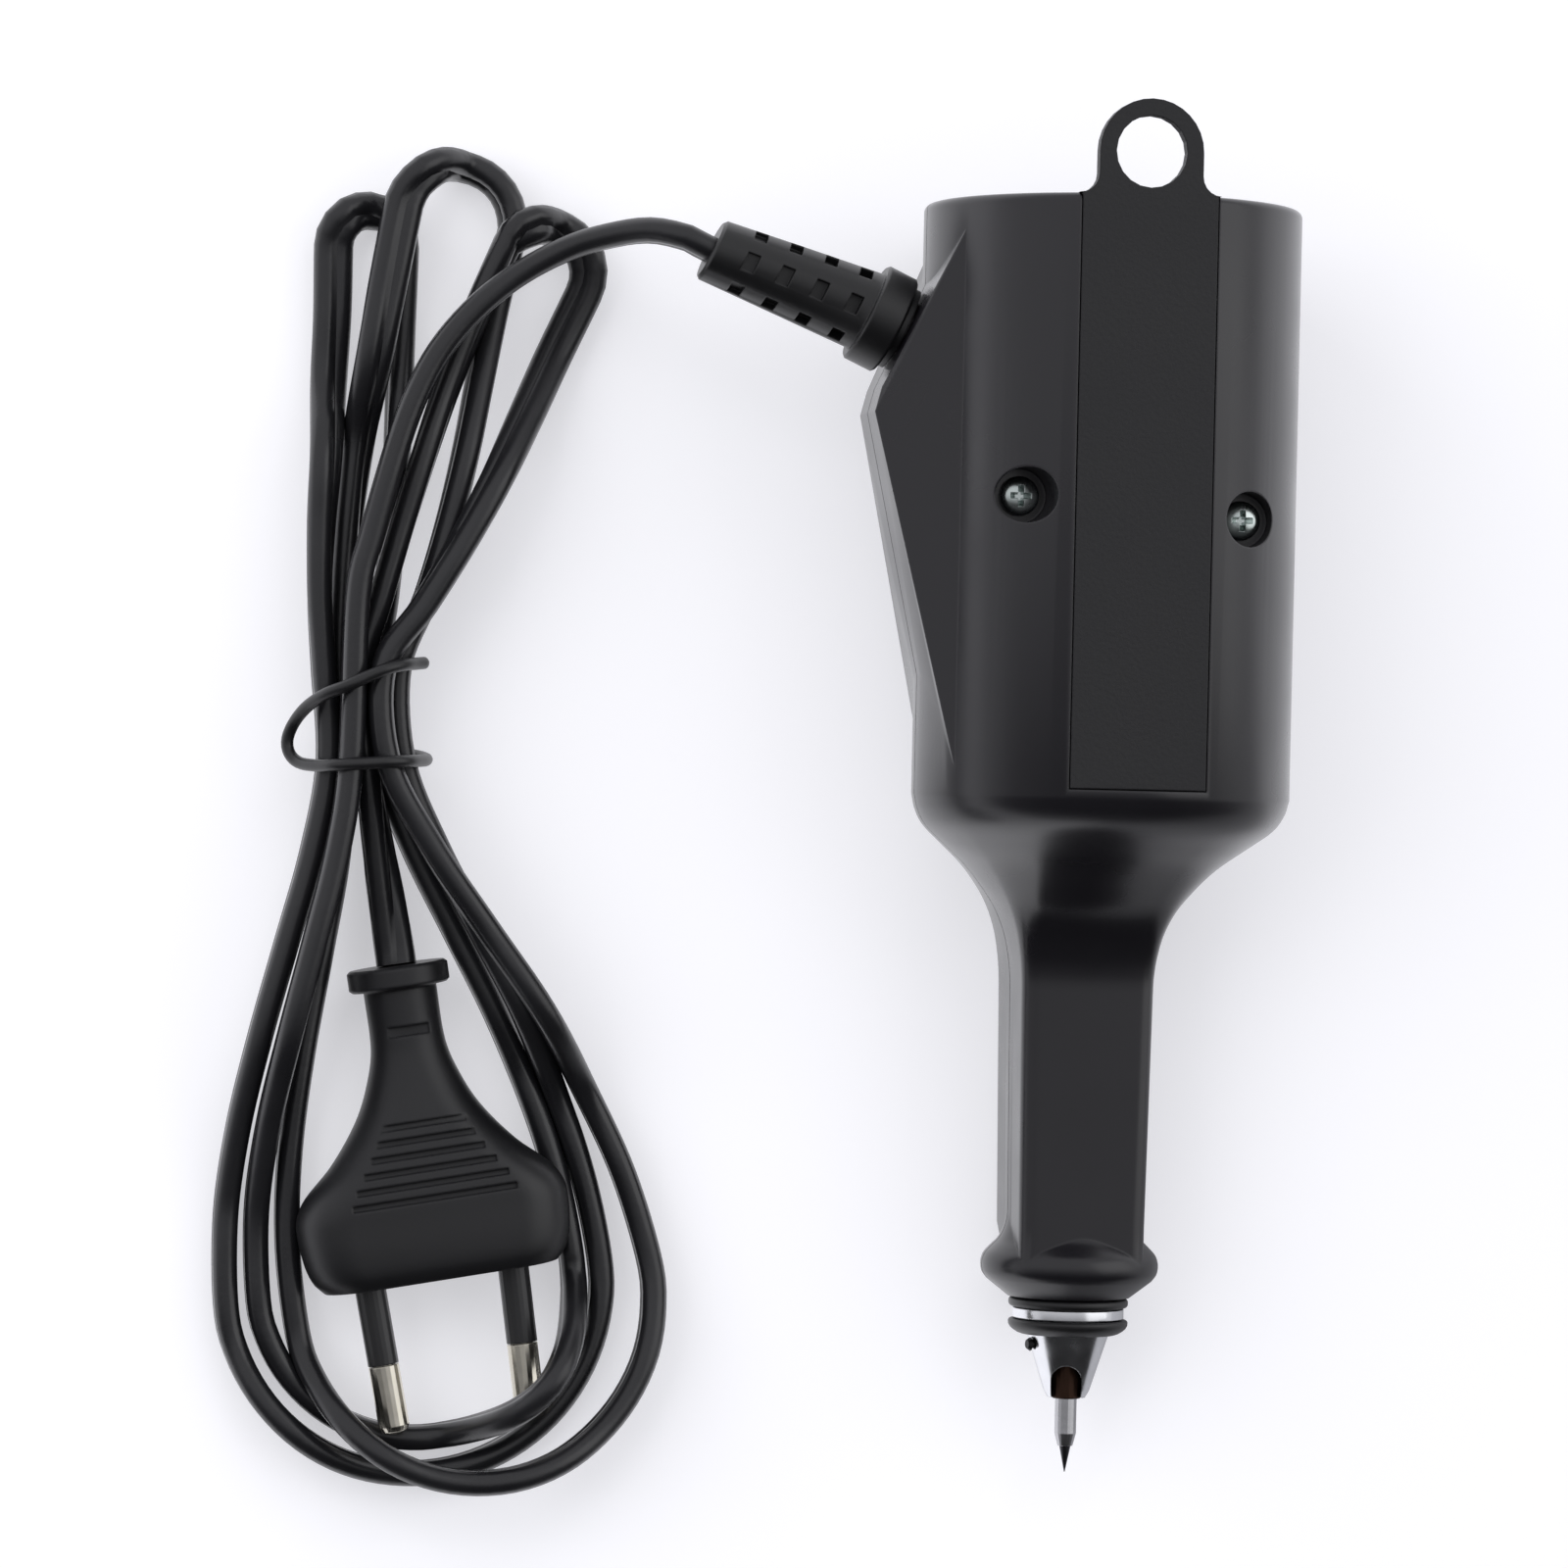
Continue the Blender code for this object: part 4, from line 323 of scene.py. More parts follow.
def hank_loop(k):
    """The points of one loop, each with the cord's turn there."""
    waist = WAIST_TOP if k % 2 else WAIST_END
    reach = Vector((*LOOP_END_MM[k], 0)) * MM - waist
    half = LOOP_HALF_WIDTH_MM[k] * MM
    heights = [height * MM for height in LOOP_HEIGHTS_MM[k]]
    turns = LOOP_TURN_DEG[k]
    leg = reach.length - half
    along = reach.normalized()
    across = Vector((abs(along.y), -along.x * math.copysign(1, along.y), 0))
    side = 1 if k % 2 else -1

    def leg_points(first, sign, height, turn, land):
        made = []
        for i in range(LEG_STEPS):
            share = i / LEG_STEPS
            swell = half * math.sin(math.pi * share / 2) ** LOOP_SWELL_POWER[k % 2]
            spread = Vector((first.x - waist.x, 0, 0)) * (1 - eased(share / SLOT_FADE))
            point = waist + along * share * leg + across * sign * swell + spread
            point.z = first.z + (height - first.z) * eased((share - land[0]) / (land[1] - land[0]))
            made.append((point, turn * eased(share)))
        return made

    rows = leg_points(pass_place(k, waist), side, heights[0], turns[0], LEG_OUT)
    for i in range(BEND_STEPS + 1):
        turn = math.pi * i / BEND_STEPS
        point = waist + along * (leg + half * math.sin(turn)) + across * side * half * math.cos(turn)
        point.z = between(heights, i / BEND_STEPS)
        rows.append((point, between(turns, i / BEND_STEPS)))
    return rows + leg_points(pass_place(k + 1, waist), -side, heights[-1], turns[-1], LEG_BACK)[::-1]


hank = [row for k in range(len(LOOP_END_MM)) for row in hank_loop(k)]
print("Route points in the hank:", len(hank))

# %% [markdown]
# ## The tail
#
# The last pass through the waist ends in the plug, so the tail needs only three points. The cord turns
# onto its flat side as it enters the plug's disc, because the moulding holds it that way.

# %% Route of the tail
PLUG_TURN = math.radians(9.6)
PLUG_DOWN = Vector((math.sin(PLUG_TURN), -math.cos(PLUG_TURN), 0))
DISC_PLACE = Vector((-84.2, -23.3, 6.85)) * MM
# The last rows before the plug's disc: how far off it they are, and the cord's turn there.
TAIL_END = ((4.0, 75.0), (0.1, 90.0))

tail = [(pass_place(len(LOOP_END_MM), WAIST_END), 0.0)]
tail += [(DISC_PLACE - PLUG_DOWN * off * MM, turn) for off, turn in TAIL_END]
print("Route points in the tail:", len(tail))

# %% [markdown]
# ## The flat twin cord
#
# Two insulated wires lie side by side in one PVC jacket, so the cord is wider than thick, with a shallow
# groove along each flat. A curve's round bevel can't show that, and a bevel object turns about the curve
# in ways that are hard to steer. So the profile is swept along the route in mesh code, with the cord's
# turn about its own line read from the same rows as its place. Where the route runs too low, the cord is
# lifted until it rests on the table.

# %% Smooth rows and the cord's outline
CORE_RADIUS = 1.62 * MM
CORE_OFFSET = 0.98 * MM
CORE_STEPS = 9
FINE_STEP = 1.6 * MM
SPLINE_STEPS = 16
# A turn in degrees rides along as a fourth coordinate, scaled so that it doesn't outweigh the places.
TURN_SCALE = MM / 10


def smooth_rows(rows, step):
    """Reads rows of (point, turn) from a smooth curve, evenly spaced."""
    items = [Vector((*point, turn * TURN_SCALE)) for point, turn in rows]
    items = [2 * items[0] - items[1]] + items + [2 * items[-1] - items[-2]]
    fine = []
    for a, b, c, d in zip(items, items[1:], items[2:], items[3:]):
        for i in range(SPLINE_STEPS):
            w = i / SPLINE_STEPS
            fine.append(0.5 * (2 * b + (c - a) * w + (2 * a - 5 * b + 4 * c - d) * w ** 2
                               + (3 * b - a - 3 * c + d) * w ** 3))
    fine.append(items[-2])
    lengths = [0.0]
    for first, second in zip(fine, fine[1:]):
        lengths.append(lengths[-1] + (second - first).xyz.length)
    count = round(lengths[-1] / step)
    made, k = [], 0
    for i in range(count + 1):
        goal = lengths[-1] * i / count
        while k < len(fine) - 2 and lengths[k + 1] < goal:
            k += 1
        share = (goal - lengths[k]) / max(lengths[k + 1] - lengths[k], 1e-9)
        row = fine[k].lerp(fine[k + 1], share)
        made.append((row.xyz, row.w / TURN_SCALE))
    return made, lengths[-1]


def twin_profile():
    """Half of the outline round each core, as (across the width, across the thickness)."""
    close = math.acos(-CORE_OFFSET / CORE_RADIUS)
    right_arc = [(CORE_OFFSET + CORE_RADIUS * math.cos(a), CORE_RADIUS * math.sin(a))
                 for a in [close * (2 * i / CORE_STEPS - 1) for i in range(CORE_STEPS + 1)]]
    return right_arc + [(-x, -y) for x, y in right_arc]


rows, cord_length = smooth_rows(lead + hank + tail, FINE_STEP)
profile = twin_profile()
print("The cord's route has", len(rows), "rings of", len(profile), "points")

# %% Sweep the cord
def tube(name, rings):
    """Joins rings of points, in metres, into one smooth tube with closed ends."""
    count = len(rings[0])
    faces = [(i * count + j, i * count + (j + 1) % count, (i + 1) * count + (j + 1) % count, (i + 1) * count + j)
             for i in range(len(rings) - 1) for j in range(count)]
    faces += [tuple(range(count))[::-1], tuple(range((len(rings) - 1) * count, len(rings) * count))]
    mesh = bpy.data.meshes.new(name)
    mesh.from_pydata([point for ring in rings for point in ring], [], faces)
    mesh.shade_smooth()
    item = bpy.data.objects.new(name, mesh)
    bpy.context.scene.collection.objects.link(item)
    return item


def line_way(line, i):
    """The direction of a line of points at one of them."""
    return (line[min(i + 1, len(line) - 1)] - line[max(i - 1, 0)]).normalized()


line = [point for point, turn in rows]
centres, rings = [], []
for i, (point, turn) in enumerate(rows):
    ahead = line_way(line, i)
    level_way = ahead.cross(Vector((0, 0, 1))).normalized()
    over = level_way.cross(ahead)
    twist = math.radians(turn)
    wide = over * math.cos(twist) + level_way * math.sin(twist)
    thin = level_way * math.cos(twist) - over * math.sin(twist)
    reach = CORE_OFFSET * abs(wide.z) + CORE_RADIUS
    centre = Vector((point.x, point.y, max(point.z, reach)))
    centres.append(centre)
    rings.append([centre + wide * x + thin * y for x, y in profile])
cord = tube("twin_cord", rings)
cord.data.set_sharp_from_angle(angle=math.radians(50))
print("Cord:", round(cord_length, 3), "m long,", len(cord.data.polygons), "faces")

# %% [markdown]
# ## PVC on the cord
#
# The jacket is extruded PVC, black right through. Extruding leaves it smooth and fairly glossy, with a
# faint orange peel along its length, and handling leaves dull patches. A noise for the peel and a wider
# one for the dullness give both.

# %% Extruded PVC
PATCH_MM, PEEL_MM, PEEL_DEPTH_MM = 14, 0.9, 0.15


def extruded_pvc(material):
    place = add_node(material, "ShaderNodeTexCoord")
    patches = add_node(material, "ShaderNodeTexNoise", {"Vector": place.outputs["Object"],
                                                        "Scale": scale_for(PATCH_MM), "Detail": 3})
    dull = add_node(material, "ShaderNodeMapRange", {"Value": patches.outputs["Fac"], "From Min": 0.35,
                                                     "From Max": 0.7, "To Min": 0.26, "To Max": 0.42})
    peel = add_node(material, "ShaderNodeTexNoise", {"Vector": place.outputs["Object"], "Scale": scale_for(PEEL_MM),
                                                     "Detail": 2})
    bumps = add_node(material, "ShaderNodeBump", {"Height": peel.outputs["Fac"], "Strength": 0.12,
                                                  "Distance": PEEL_DEPTH_MM * MM})
    tint = add_node(material, "ShaderNodeMix", {"Factor": patches.outputs["Fac"], 6: hex_colour("#141416"),
                                                7: hex_colour("#1d1d20")}, data_type="RGBA")
    return {"Base Color": tint.outputs[2], "Roughness": dull.outputs["Result"], "Normal": bumps.outputs["Normal"],
            "IOR": 1.53, "Specular IOR Level": 0.5}


cord.data.materials.append(new_material("Extruded black PVC", extruded_pvc))
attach(cord, "housing")
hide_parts("cord_lead", "cord_hank", "cord_tail")

# %% [markdown]
# ## Moulded plastics and rubber
#
# The housing is ABS, moulded in a tool that was spark-eroded to a fine matt. That gives the eye a soft
# sheen with a fine grain, and patches of gloss and tone left by handling. One recipe serves the moulded
# pieces, because they differ only in colour, gloss and the size of their grain. A Bevel node rounds the
# highlight along edges that the solids leave sharp.

# %% Moulded surface
HAND_PATCH_MM = 22
BEVEL_SAMPLES = 6


def moulded(dark, light, rough, grain_mm, depth_mm, edge_mm):
    def inputs(material):
        place = add_node(material, "ShaderNodeTexCoord")
        spark = add_node(material, "ShaderNodeTexNoise", {"Vector": place.outputs["Object"],
                                                          "Scale": scale_for(grain_mm), "Detail": 3})
        rounded = add_node(material, "ShaderNodeBevel", {"Radius": edge_mm * MM},
                           samples=BEVEL_SAMPLES)
        bumps = add_node(material, "ShaderNodeBump", {"Height": spark.outputs["Fac"], "Strength": 0.35,
                                                      "Distance": depth_mm * MM,
                                                      "Normal": rounded.outputs["Normal"]})
        hands = add_node(material, "ShaderNodeTexNoise", {"Vector": place.outputs["Object"],
                                                          "Scale": scale_for(HAND_PATCH_MM), "Detail": 4})
        gloss = add_node(material, "ShaderNodeMapRange", {"Value": hands.outputs["Fac"], "From Min": 0.3,
                                                          "From Max": 0.75, "To Min": rough - 0.05,
                                                          "To Max": rough + 0.06})
        tint = add_node(material, "ShaderNodeMix", {"Factor": hands.outputs["Fac"], 6: hex_colour(dark),
                                                    7: hex_colour(light)}, data_type="RGBA")
        return {"Base Color": tint.outputs[2], "Roughness": gloss.outputs["Result"],
                "Normal": bumps.outputs["Normal"], "IOR": 1.54}
    return inputs


# Each row: a name, the dark and the light colour, the roughness, and in millimetres the grain's size, its
# depth and the rounding of the edges.
MOULDED = {
    "housing": ("Spark-textured black ABS", "#111014", "#18171b", 0.3, 0.35, 0.012, 0.4),
    "strip": ("Grained black strip", "#0b0b0d", "#18181b", 0.6, 0.55, 0.1, 0.25),
    "rubber": ("Moulded black rubber", "#09090a", "#101012", 0.42, 0.6, 0.03, 0.3),
    "plug": ("Moulded black PVC", "#0c0c0e", "#131316", 0.46, 0.5, 0.03, 0.5),
    "sleeve": ("Pin sleeve PVC", "#121213", "#1b1b1d", 0.4, 0.5, 0.02, 0.2),
    "tie": ("PVC-covered tie wire", "#0e0e10", "#171719", 0.4, 0.6, 0.03, 0.2),
    "nylon": ("Natural nylon", "#cfcabb", "#dcd8ca", 0.45, 0.5, 0.02, 0.2),
    "wire_cover": ("PVC wire insulation", "#9a9ca4", "#b0b2ba", 0.4, 0.5, 0.02, 0.1),
}
finishes = {slot: new_material(name, moulded(*look)) for slot, (name, *look) in MOULDED.items()}
print("Moulded finishes:", ", ".join(finishes))

# %% [markdown]
# ## Turned, plated and ground metals
#
# The cone and the band are turned steel with chrome plate, the needle's shank is ground, and its point
# is sintered carbide. Turning and grinding both leave rings round the axis, so one recipe draws fine
# bands along the pen that ripple the surface, and a noise varies the gloss. A wave texture counts 20
# radians for each unit of its scale, so a whole ring is 6.3 times as wide as the size in the table.

# %% Turned metal
WAVE_RADIANS = 20
SMUDGE_MM = 3


def turned_metal(dark, light, rough, ring_mm, depth_mm, edge_mm):
    def inputs(material):
        place = add_node(material, "ShaderNodeTexCoord")
        rings = add_node(material, "ShaderNodeTexWave", {"Vector": place.outputs["Object"],
                                                         "Scale": scale_for(ring_mm) / WAVE_RADIANS,
                                                         "Distortion": 1.2, "Detail": 3, "Detail Scale": 2.0},
                         bands_direction="Y")
        rounded = add_node(material, "ShaderNodeBevel", {"Radius": edge_mm * MM},
                           samples=BEVEL_SAMPLES)
        bumps = add_node(material, "ShaderNodeBump", {"Height": rings.outputs["Fac"], "Strength": 0.15,
                                                      "Distance": depth_mm * MM,
                                                      "Normal": rounded.outputs["Normal"]})
        smudges = add_node(material, "ShaderNodeTexNoise", {"Vector": place.outputs["Object"],
                                                            "Scale": scale_for(SMUDGE_MM), "Detail": 4})
        gloss = add_node(material, "ShaderNodeMapRange", {"Value": smudges.outputs["Fac"], "From Min": 0.3,
                                                          "From Max": 0.8, "To Min": rough - 0.04,
                                                          "To Max": rough + 0.1})
        tint = add_node(material, "ShaderNodeMix", {"Factor": smudges.outputs["Fac"], 6: hex_colour(dark),
                                                    7: hex_colour(light)}, data_type="RGBA")
        return {"Base Color": tint.outputs[2], "Metallic": 1.0, "Roughness": gloss.outputs["Result"],
                "Normal": bumps.outputs["Normal"]}
    return inputs


# The rows read as the moulded ones do, with the rings' size and depth in place of the grain's.
METALS = {
    "chrome": ("Chrome-plated turned steel", "#c9cacd", "#e4e5e8", 0.2, 0.3, 0.01, 0.15),
    "steel": ("Ground steel", "#9a9a9c", "#bdbdc0", 0.26, 0.2, 0.01, 0.1),
    "carbide": ("Sintered tungsten carbide", "#38383b", "#505054", 0.34, 0.2, 0.01, 0.05),
    "zinc": ("Zinc-plated steel", "#aebab7", "#dde3e1", 0.24, 0.4, 0.02, 0.1),
    "black_steel": ("Black oxide steel", "#232324", "#38383a", 0.38, 0.3, 0.01, 0.1),
    "bronze": ("Oiled sintered bronze", "#2e211a", "#43322a", 0.42, 0.3, 0.02, 0.1),
    "brass": ("Stamped brass", "#b9963f", "#cfae5c", 0.3, 0.4, 0.01, 0.1),
    "nickel": ("Nickel-plated brass", "#b7b2a4", "#d5d1c6", 0.2, 0.3, 0.01, 0.2),
}
finishes |= {slot: new_material(name, turned_metal(*look)) for slot, (name, *look) in METALS.items()}
print("Turned and plated finishes:", ", ".join(METALS))

# %% [markdown]
# ## Laminations and winding
#
# Inside, the core is a stack of thin stamped sheets, and the coil is layer on layer of enamelled wire.
# Both show as close parallel lines. The sheets lie one over another, and the wire runs round the
# bobbin, so the lines follow different directions.

# %% Stacked and wound metal
def striped_metal(dark, light, rough, line_mm, depth_mm, direction):
    def inputs(material):
        place = add_node(material, "ShaderNodeTexCoord")
        lines = add_node(material, "ShaderNodeTexWave", {"Vector": place.outputs["Object"],
                                                         "Scale": scale_for(line_mm) / WAVE_RADIANS,
                                                         "Distortion": 0.3, "Detail": 1},
                         bands_direction=direction)
        bumps = add_node(material, "ShaderNodeBump", {"Height": lines.outputs["Fac"], "Strength": 0.6,
                                                      "Distance": depth_mm * MM})
        tint = add_node(material, "ShaderNodeMix", {"Factor": lines.outputs["Fac"], 6: hex_colour(dark),
                                                    7: hex_colour(light)}, data_type="RGBA")
        return {"Base Color": tint.outputs[2], "Metallic": 1.0, "Roughness": rough,
                "Normal": bumps.outputs["Normal"]}
    return inputs


finishes["lamination"] = new_material("Stacked electrical steel",
                                      striped_metal("#4c4d50", "#77787c", 0.45, 0.5, 0.08, "Z"))
finishes["winding"] = new_material("Enamelled copper wire",
                                   striped_metal("#6e2c14", "#a8502a", 0.35, 0.4, 0.12, "Y"))
print("Finishes in all:", len(finishes))

# %% [markdown]
# ## Dressing the solids
#
# The record names a material slot for every solid, and each slot but the cord's now has its finish. The
# solids that stay are shown just as they came. Those that are made new below are replaced by name.

# %% Give every solid its finish
slots = {entry["node"]: entry["material_slot"] for entry in frame["record"]["subparts"]}
for name, solid in frame["nodes"].items():
    if slots[name] in finishes:
        solid.data.materials.clear()
        solid.data.materials.append(finishes[slots[name]])
print("Dressed", sum(slots[name] in finishes for name in frame["nodes"]), "solids")

# %% [markdown]
# ## Shaping the pen's own pieces
#
# The solids are true to size, but they are made of flat bands, and a soft highlight shows every one. So
# the pieces that the eye follows are made again in the same sizes with much finer rings. They are
# written in millimetres round the barrel's axis, with z up and "at" counted down the pen from its rim.
# Cuts and joins are exact Booleans, which are worked out once and then fixed into the mesh.

# %% Rings, lofts and prisms
PEN_PLACE = Vector((3.55, 75.275, 24.1)) * MM
# A ring that would shrink to the axis keeps this radius, so that its points stay apart.
LEAST_RADIUS = 0.001


def circle(sides):
    return [2 * math.pi * i / sides for i in range(sides)]


def loft(rings, closed=False):
    """Joins rings of points, one to the next. A closed loft joins the last to the first, and an open one
    gets two end faces."""
    bm = bmesh.new()
    made = [[bm.verts.new(point) for point in ring] for ring in rings]
    for first, second in zip(made, made[1:] + made[:1] if closed else made[1:]):
        for i in range(len(first)):
            j = (i + 1) % len(first)
            bm.faces.new((first[i], first[j], second[j], second[i]))
    if not closed:
        bm.faces.new(made[0])
        bm.faces.new(made[-1])
    return bm


def turned(profile, sides, turn=Matrix(), closed=False):
    """Turns a profile of (at, radius) about the Y axis, then moves it by a matrix."""
    rings = []
    for at, radius in profile:
        radius = max(radius, LEAST_RADIUS)
        rings.append([turn @ Vector((radius * math.sin(a), -at, radius * math.cos(a))) for a in circle(sides)])
    return loft(rings, closed)


def prism(outline, low, high, place):
    """Extrudes an outline between two heights. The function place turns (point, height) to three numbers."""
    return loft([[place(point, height) for point in outline] for height in (low, high)])


def upright(point, height):
    return (point[0], -point[1], height)

# %% Pieces and Booleans
def piece(name, bm):
    """Makes an object of a bmesh written in millimetres in the pen's own frame."""
    bmesh.ops.recalc_face_normals(bm, faces=bm.faces)
    bmesh.ops.scale(bm, vec=(MM, MM, MM), verts=bm.verts)
    bmesh.ops.translate(bm, vec=PEN_PLACE, verts=bm.verts)
    mesh = bpy.data.meshes.new(name)
    bm.to_mesh(mesh)
    bm.free()
    item = bpy.data.objects.new(name, mesh)
    bpy.context.scene.collection.objects.link(item)
    return item


def carve(item, steps, sharp_deg):
    """Applies a row of (operation, tool), then shades the result smooth up to an angle."""
    for operation, other in steps:
        modifier = item.modifiers.new(other.name, "BOOLEAN")
        modifier.operation, modifier.object, modifier.solver = operation, other, "EXACT"
    bpy.context.view_layer.update()
    mesh = bpy.data.meshes.new_from_object(item.evaluated_get(bpy.context.evaluated_depsgraph_get()))
    item.modifiers.clear()
    item.data = mesh
    mesh.shade_smooth()
    mesh.set_sharp_from_angle(angle=math.radians(sharp_deg))
    return len(mesh.polygons)


def drop_tools(tools):
    for other in tools:
        bpy.data.objects.remove(other, do_unlink=True)


print("The barrel's rim stands at", [round(number / MM, 2) for number in PEN_PLACE], "mm")

# %% [markdown]
# ## The housing's form
#
# The barrel is round and the neck is a square with round corners, nearer the table. Each ring of the
# funnel is a mix of the two, and a table gives how far the mix has gone. A smooth curve is read through
# the table, so the funnel has no creases. The collar is turned from a table of its own.

# %% Sizes of the housing
RADIUS, LENGTH, WALL = 24.1, 75.0, 2.2
FUNNEL_END, NECK_END, COLLAR_END, SPIGOT_END = 100.0, 130.6, 139.7, 142.5
DROP = 12.6
RIM_SOFT = 1.0
NECK_TOP_WIDTH, NECK_CORNER, NECK_CROWN = 17.2, 1.9, 0.8
NECK_HOLLOW = 5.2
# The neck's width at its end, then its width and length inside the collar, for each half.
NECK_WIDTH = 16.4
NECK_STUB = {"rear_housing": (15.2, 3.2), "front_housing": (NECK_WIDTH, 4.37)}
COLLAR_ROOT, COLLAR_FLARE, COLLAR_LIP, SPIGOT_RADIUS = 8.2, 3.3, 7.9, 6.2
QUADRANT = 36
RIM_RINGS = 8
FUNNEL_RINGS = 44
COLLAR_RINGS = 40
FUNNEL_TABLE = ((0.0, 0.0), (0.08, 0.035), (0.16, 0.115), (0.25, 0.29), (0.36, 0.51), (0.47, 0.68), (0.58, 0.82),
                (0.7, 0.917), (0.82, 0.97), (0.92, 0.994), (1.0, 1.0), (1.1, 1.0))
COLLAR_TABLE = ((-0.25, 0.0), (-0.12, 0.03), (0.0, 0.1), (0.18, 0.34), (0.3, 0.66), (0.39, 0.88), (0.48, 0.98),
                (0.57, 1.0), (0.67, 0.94), (0.76, 0.76))
print("The housing is", SPIGOT_END, "mm long and", 2 * RADIUS, "mm across")

# %% Rings of the barrel, the funnel and the neck
def read_table(table, place):
    """Reads (place, value) rows as one smooth curve."""
    last = len(table) - 1
    i = min(max(sum(1 for start, _ in table if start <= place) - 1, 0), last - 1)

    def slope(k):
        low, high = max(k - 1, 0), min(k + 1, last)
        return (table[high][1] - table[low][1]) / (table[high][0] - table[low][0])

    span = table[i + 1][0] - table[i][0]
    w = min(max((place - table[i][0]) / span, 0.0), 1.0)
    return ((2 * w ** 3 - 3 * w ** 2 + 1) * table[i][1] + (w ** 3 - 2 * w ** 2 + w) * slope(i) * span
            + (3 * w ** 2 - 2 * w ** 3) * table[i + 1][1] + (w ** 3 - w ** 2) * slope(i + 1) * span)


def round_ring(radius, at, drop=0.0):
    angles = [math.pi / 2 * i / QUADRANT for i in range(4 * QUADRANT)]
    return [Vector((radius * math.sin(a), -at, radius * math.cos(a) - drop)) for a in angles]


def neck_ring(width, at):
    half, corner, third = width / 2, NECK_CORNER, QUADRANT // 3
    core = half - corner
    quarter = [(core * i / third, half) for i in range(third)]
    quarter += [(core + corner * math.sin(math.pi / 2 * i / third), core + corner * math.cos(math.pi / 2 * i / third))
                for i in range(third)]
    quarter += [(half, core - core * i / third) for i in range(third)]
    points = []
    for turn in range(4):
        for x, z in quarter:
            for _ in range(turn):
                x, z = z, -x
            crown = math.copysign(min(abs(z) / core, 1) * NECK_CROWN, z)
            points.append(Vector((x, -at, z + crown - DROP)))
    return points


def mixed(first, second, share):
    return [a.lerp(b, share) for a, b in zip(first, second)]


def funnel_share(at):
    return read_table(FUNNEL_TABLE, (at - LENGTH) / (FUNNEL_END - LENGTH))


FUNNEL_PLACES = [LENGTH + (FUNNEL_END - LENGTH) * i / FUNNEL_RINGS for i in range(FUNNEL_RINGS + 1)]
print("The funnel has", len(FUNNEL_PLACES), "rings of", 4 * QUADRANT, "points")

# %% Form, hollow and collar
def housing_form(end_width, reach):
    turns = [math.pi / 2 / RIM_RINGS * i for i in range(RIM_RINGS + 1)]
    rings = [round_ring(RADIUS - RIM_SOFT + RIM_SOFT * math.sin(a), RIM_SOFT - RIM_SOFT * math.cos(a)) for a in turns]
    rings += [mixed(round_ring(RADIUS, at), neck_ring(NECK_TOP_WIDTH, at), funnel_share(at)) for at in FUNNEL_PLACES]
    return loft(rings + [neck_ring(NECK_WIDTH, NECK_END), neck_ring(end_width, NECK_END + reach)])


def housing_hollow():
    rings = [round_ring(RADIUS - WALL, WALL)]
    for at in FUNNEL_PLACES:
        share = funnel_share(min(at + WALL, FUNNEL_END))
        rings.append(mixed(round_ring(RADIUS - WALL, at), round_ring(NECK_HOLLOW, at, DROP), share))
    return loft(rings + [round_ring(NECK_HOLLOW, SPIGOT_END + 1, DROP)])


def collar_form():
    length = COLLAR_END - NECK_END
    start, end = COLLAR_TABLE[0][0], COLLAR_TABLE[-1][0]
    profile = [(NECK_END + start * length, 0)]
    for i in range(COLLAR_RINGS + 1):
        place = start + (end - start) * i / COLLAR_RINGS
        profile.append((NECK_END + place * length, COLLAR_ROOT + read_table(COLLAR_TABLE, place) * COLLAR_FLARE))
    profile += [(COLLAR_END, COLLAR_LIP), (COLLAR_END, SPIGOT_RADIUS), (SPIGOT_END, SPIGOT_RADIUS), (SPIGOT_END, 0)]
    return turned(profile, 4 * QUADRANT, Matrix.Translation((0, 0, -DROP)))


print("The collar flares to", 2 * (COLLAR_ROOT + COLLAR_FLARE), "mm")

# %% [markdown]
# ## The wedge, and the forms that cut
#
# The wedge is the part of the barrel that the cord comes out of. Its faces are flat, so it is the hull
# of seven pairs of corners, and its hollow is the same hull made smaller. The other forms here are the
# tools for what a mould's cores leave: a half space for the parting line, round posts and plain boxes.

# %% Wedge and the other cutting forms
BOSS_SLOPE = math.radians(25)
BOSS_TOP, BOSS_FOOT, BOSS_END = 4.2, 60, 71.5
BOSS_HALF, BOSS_CREST_HALF, BOSS_FOOT_HALF = 11.5, 5.5, 2.0
BOSS_ROOT = math.sqrt(RADIUS ** 2 - BOSS_HALF ** 2)
BOSS_REACH, BOSS_CHAMFER, BOSS_CREST = 31.2, 0.8, 3.1
RELIEF_AT = 16.4
# Half spaces and cuts run this far past the pen: above its rim, below its needle and to the sides.
PAST_RIM, PAST_NEEDLE, PAST_SIDE = 51, 200, 60


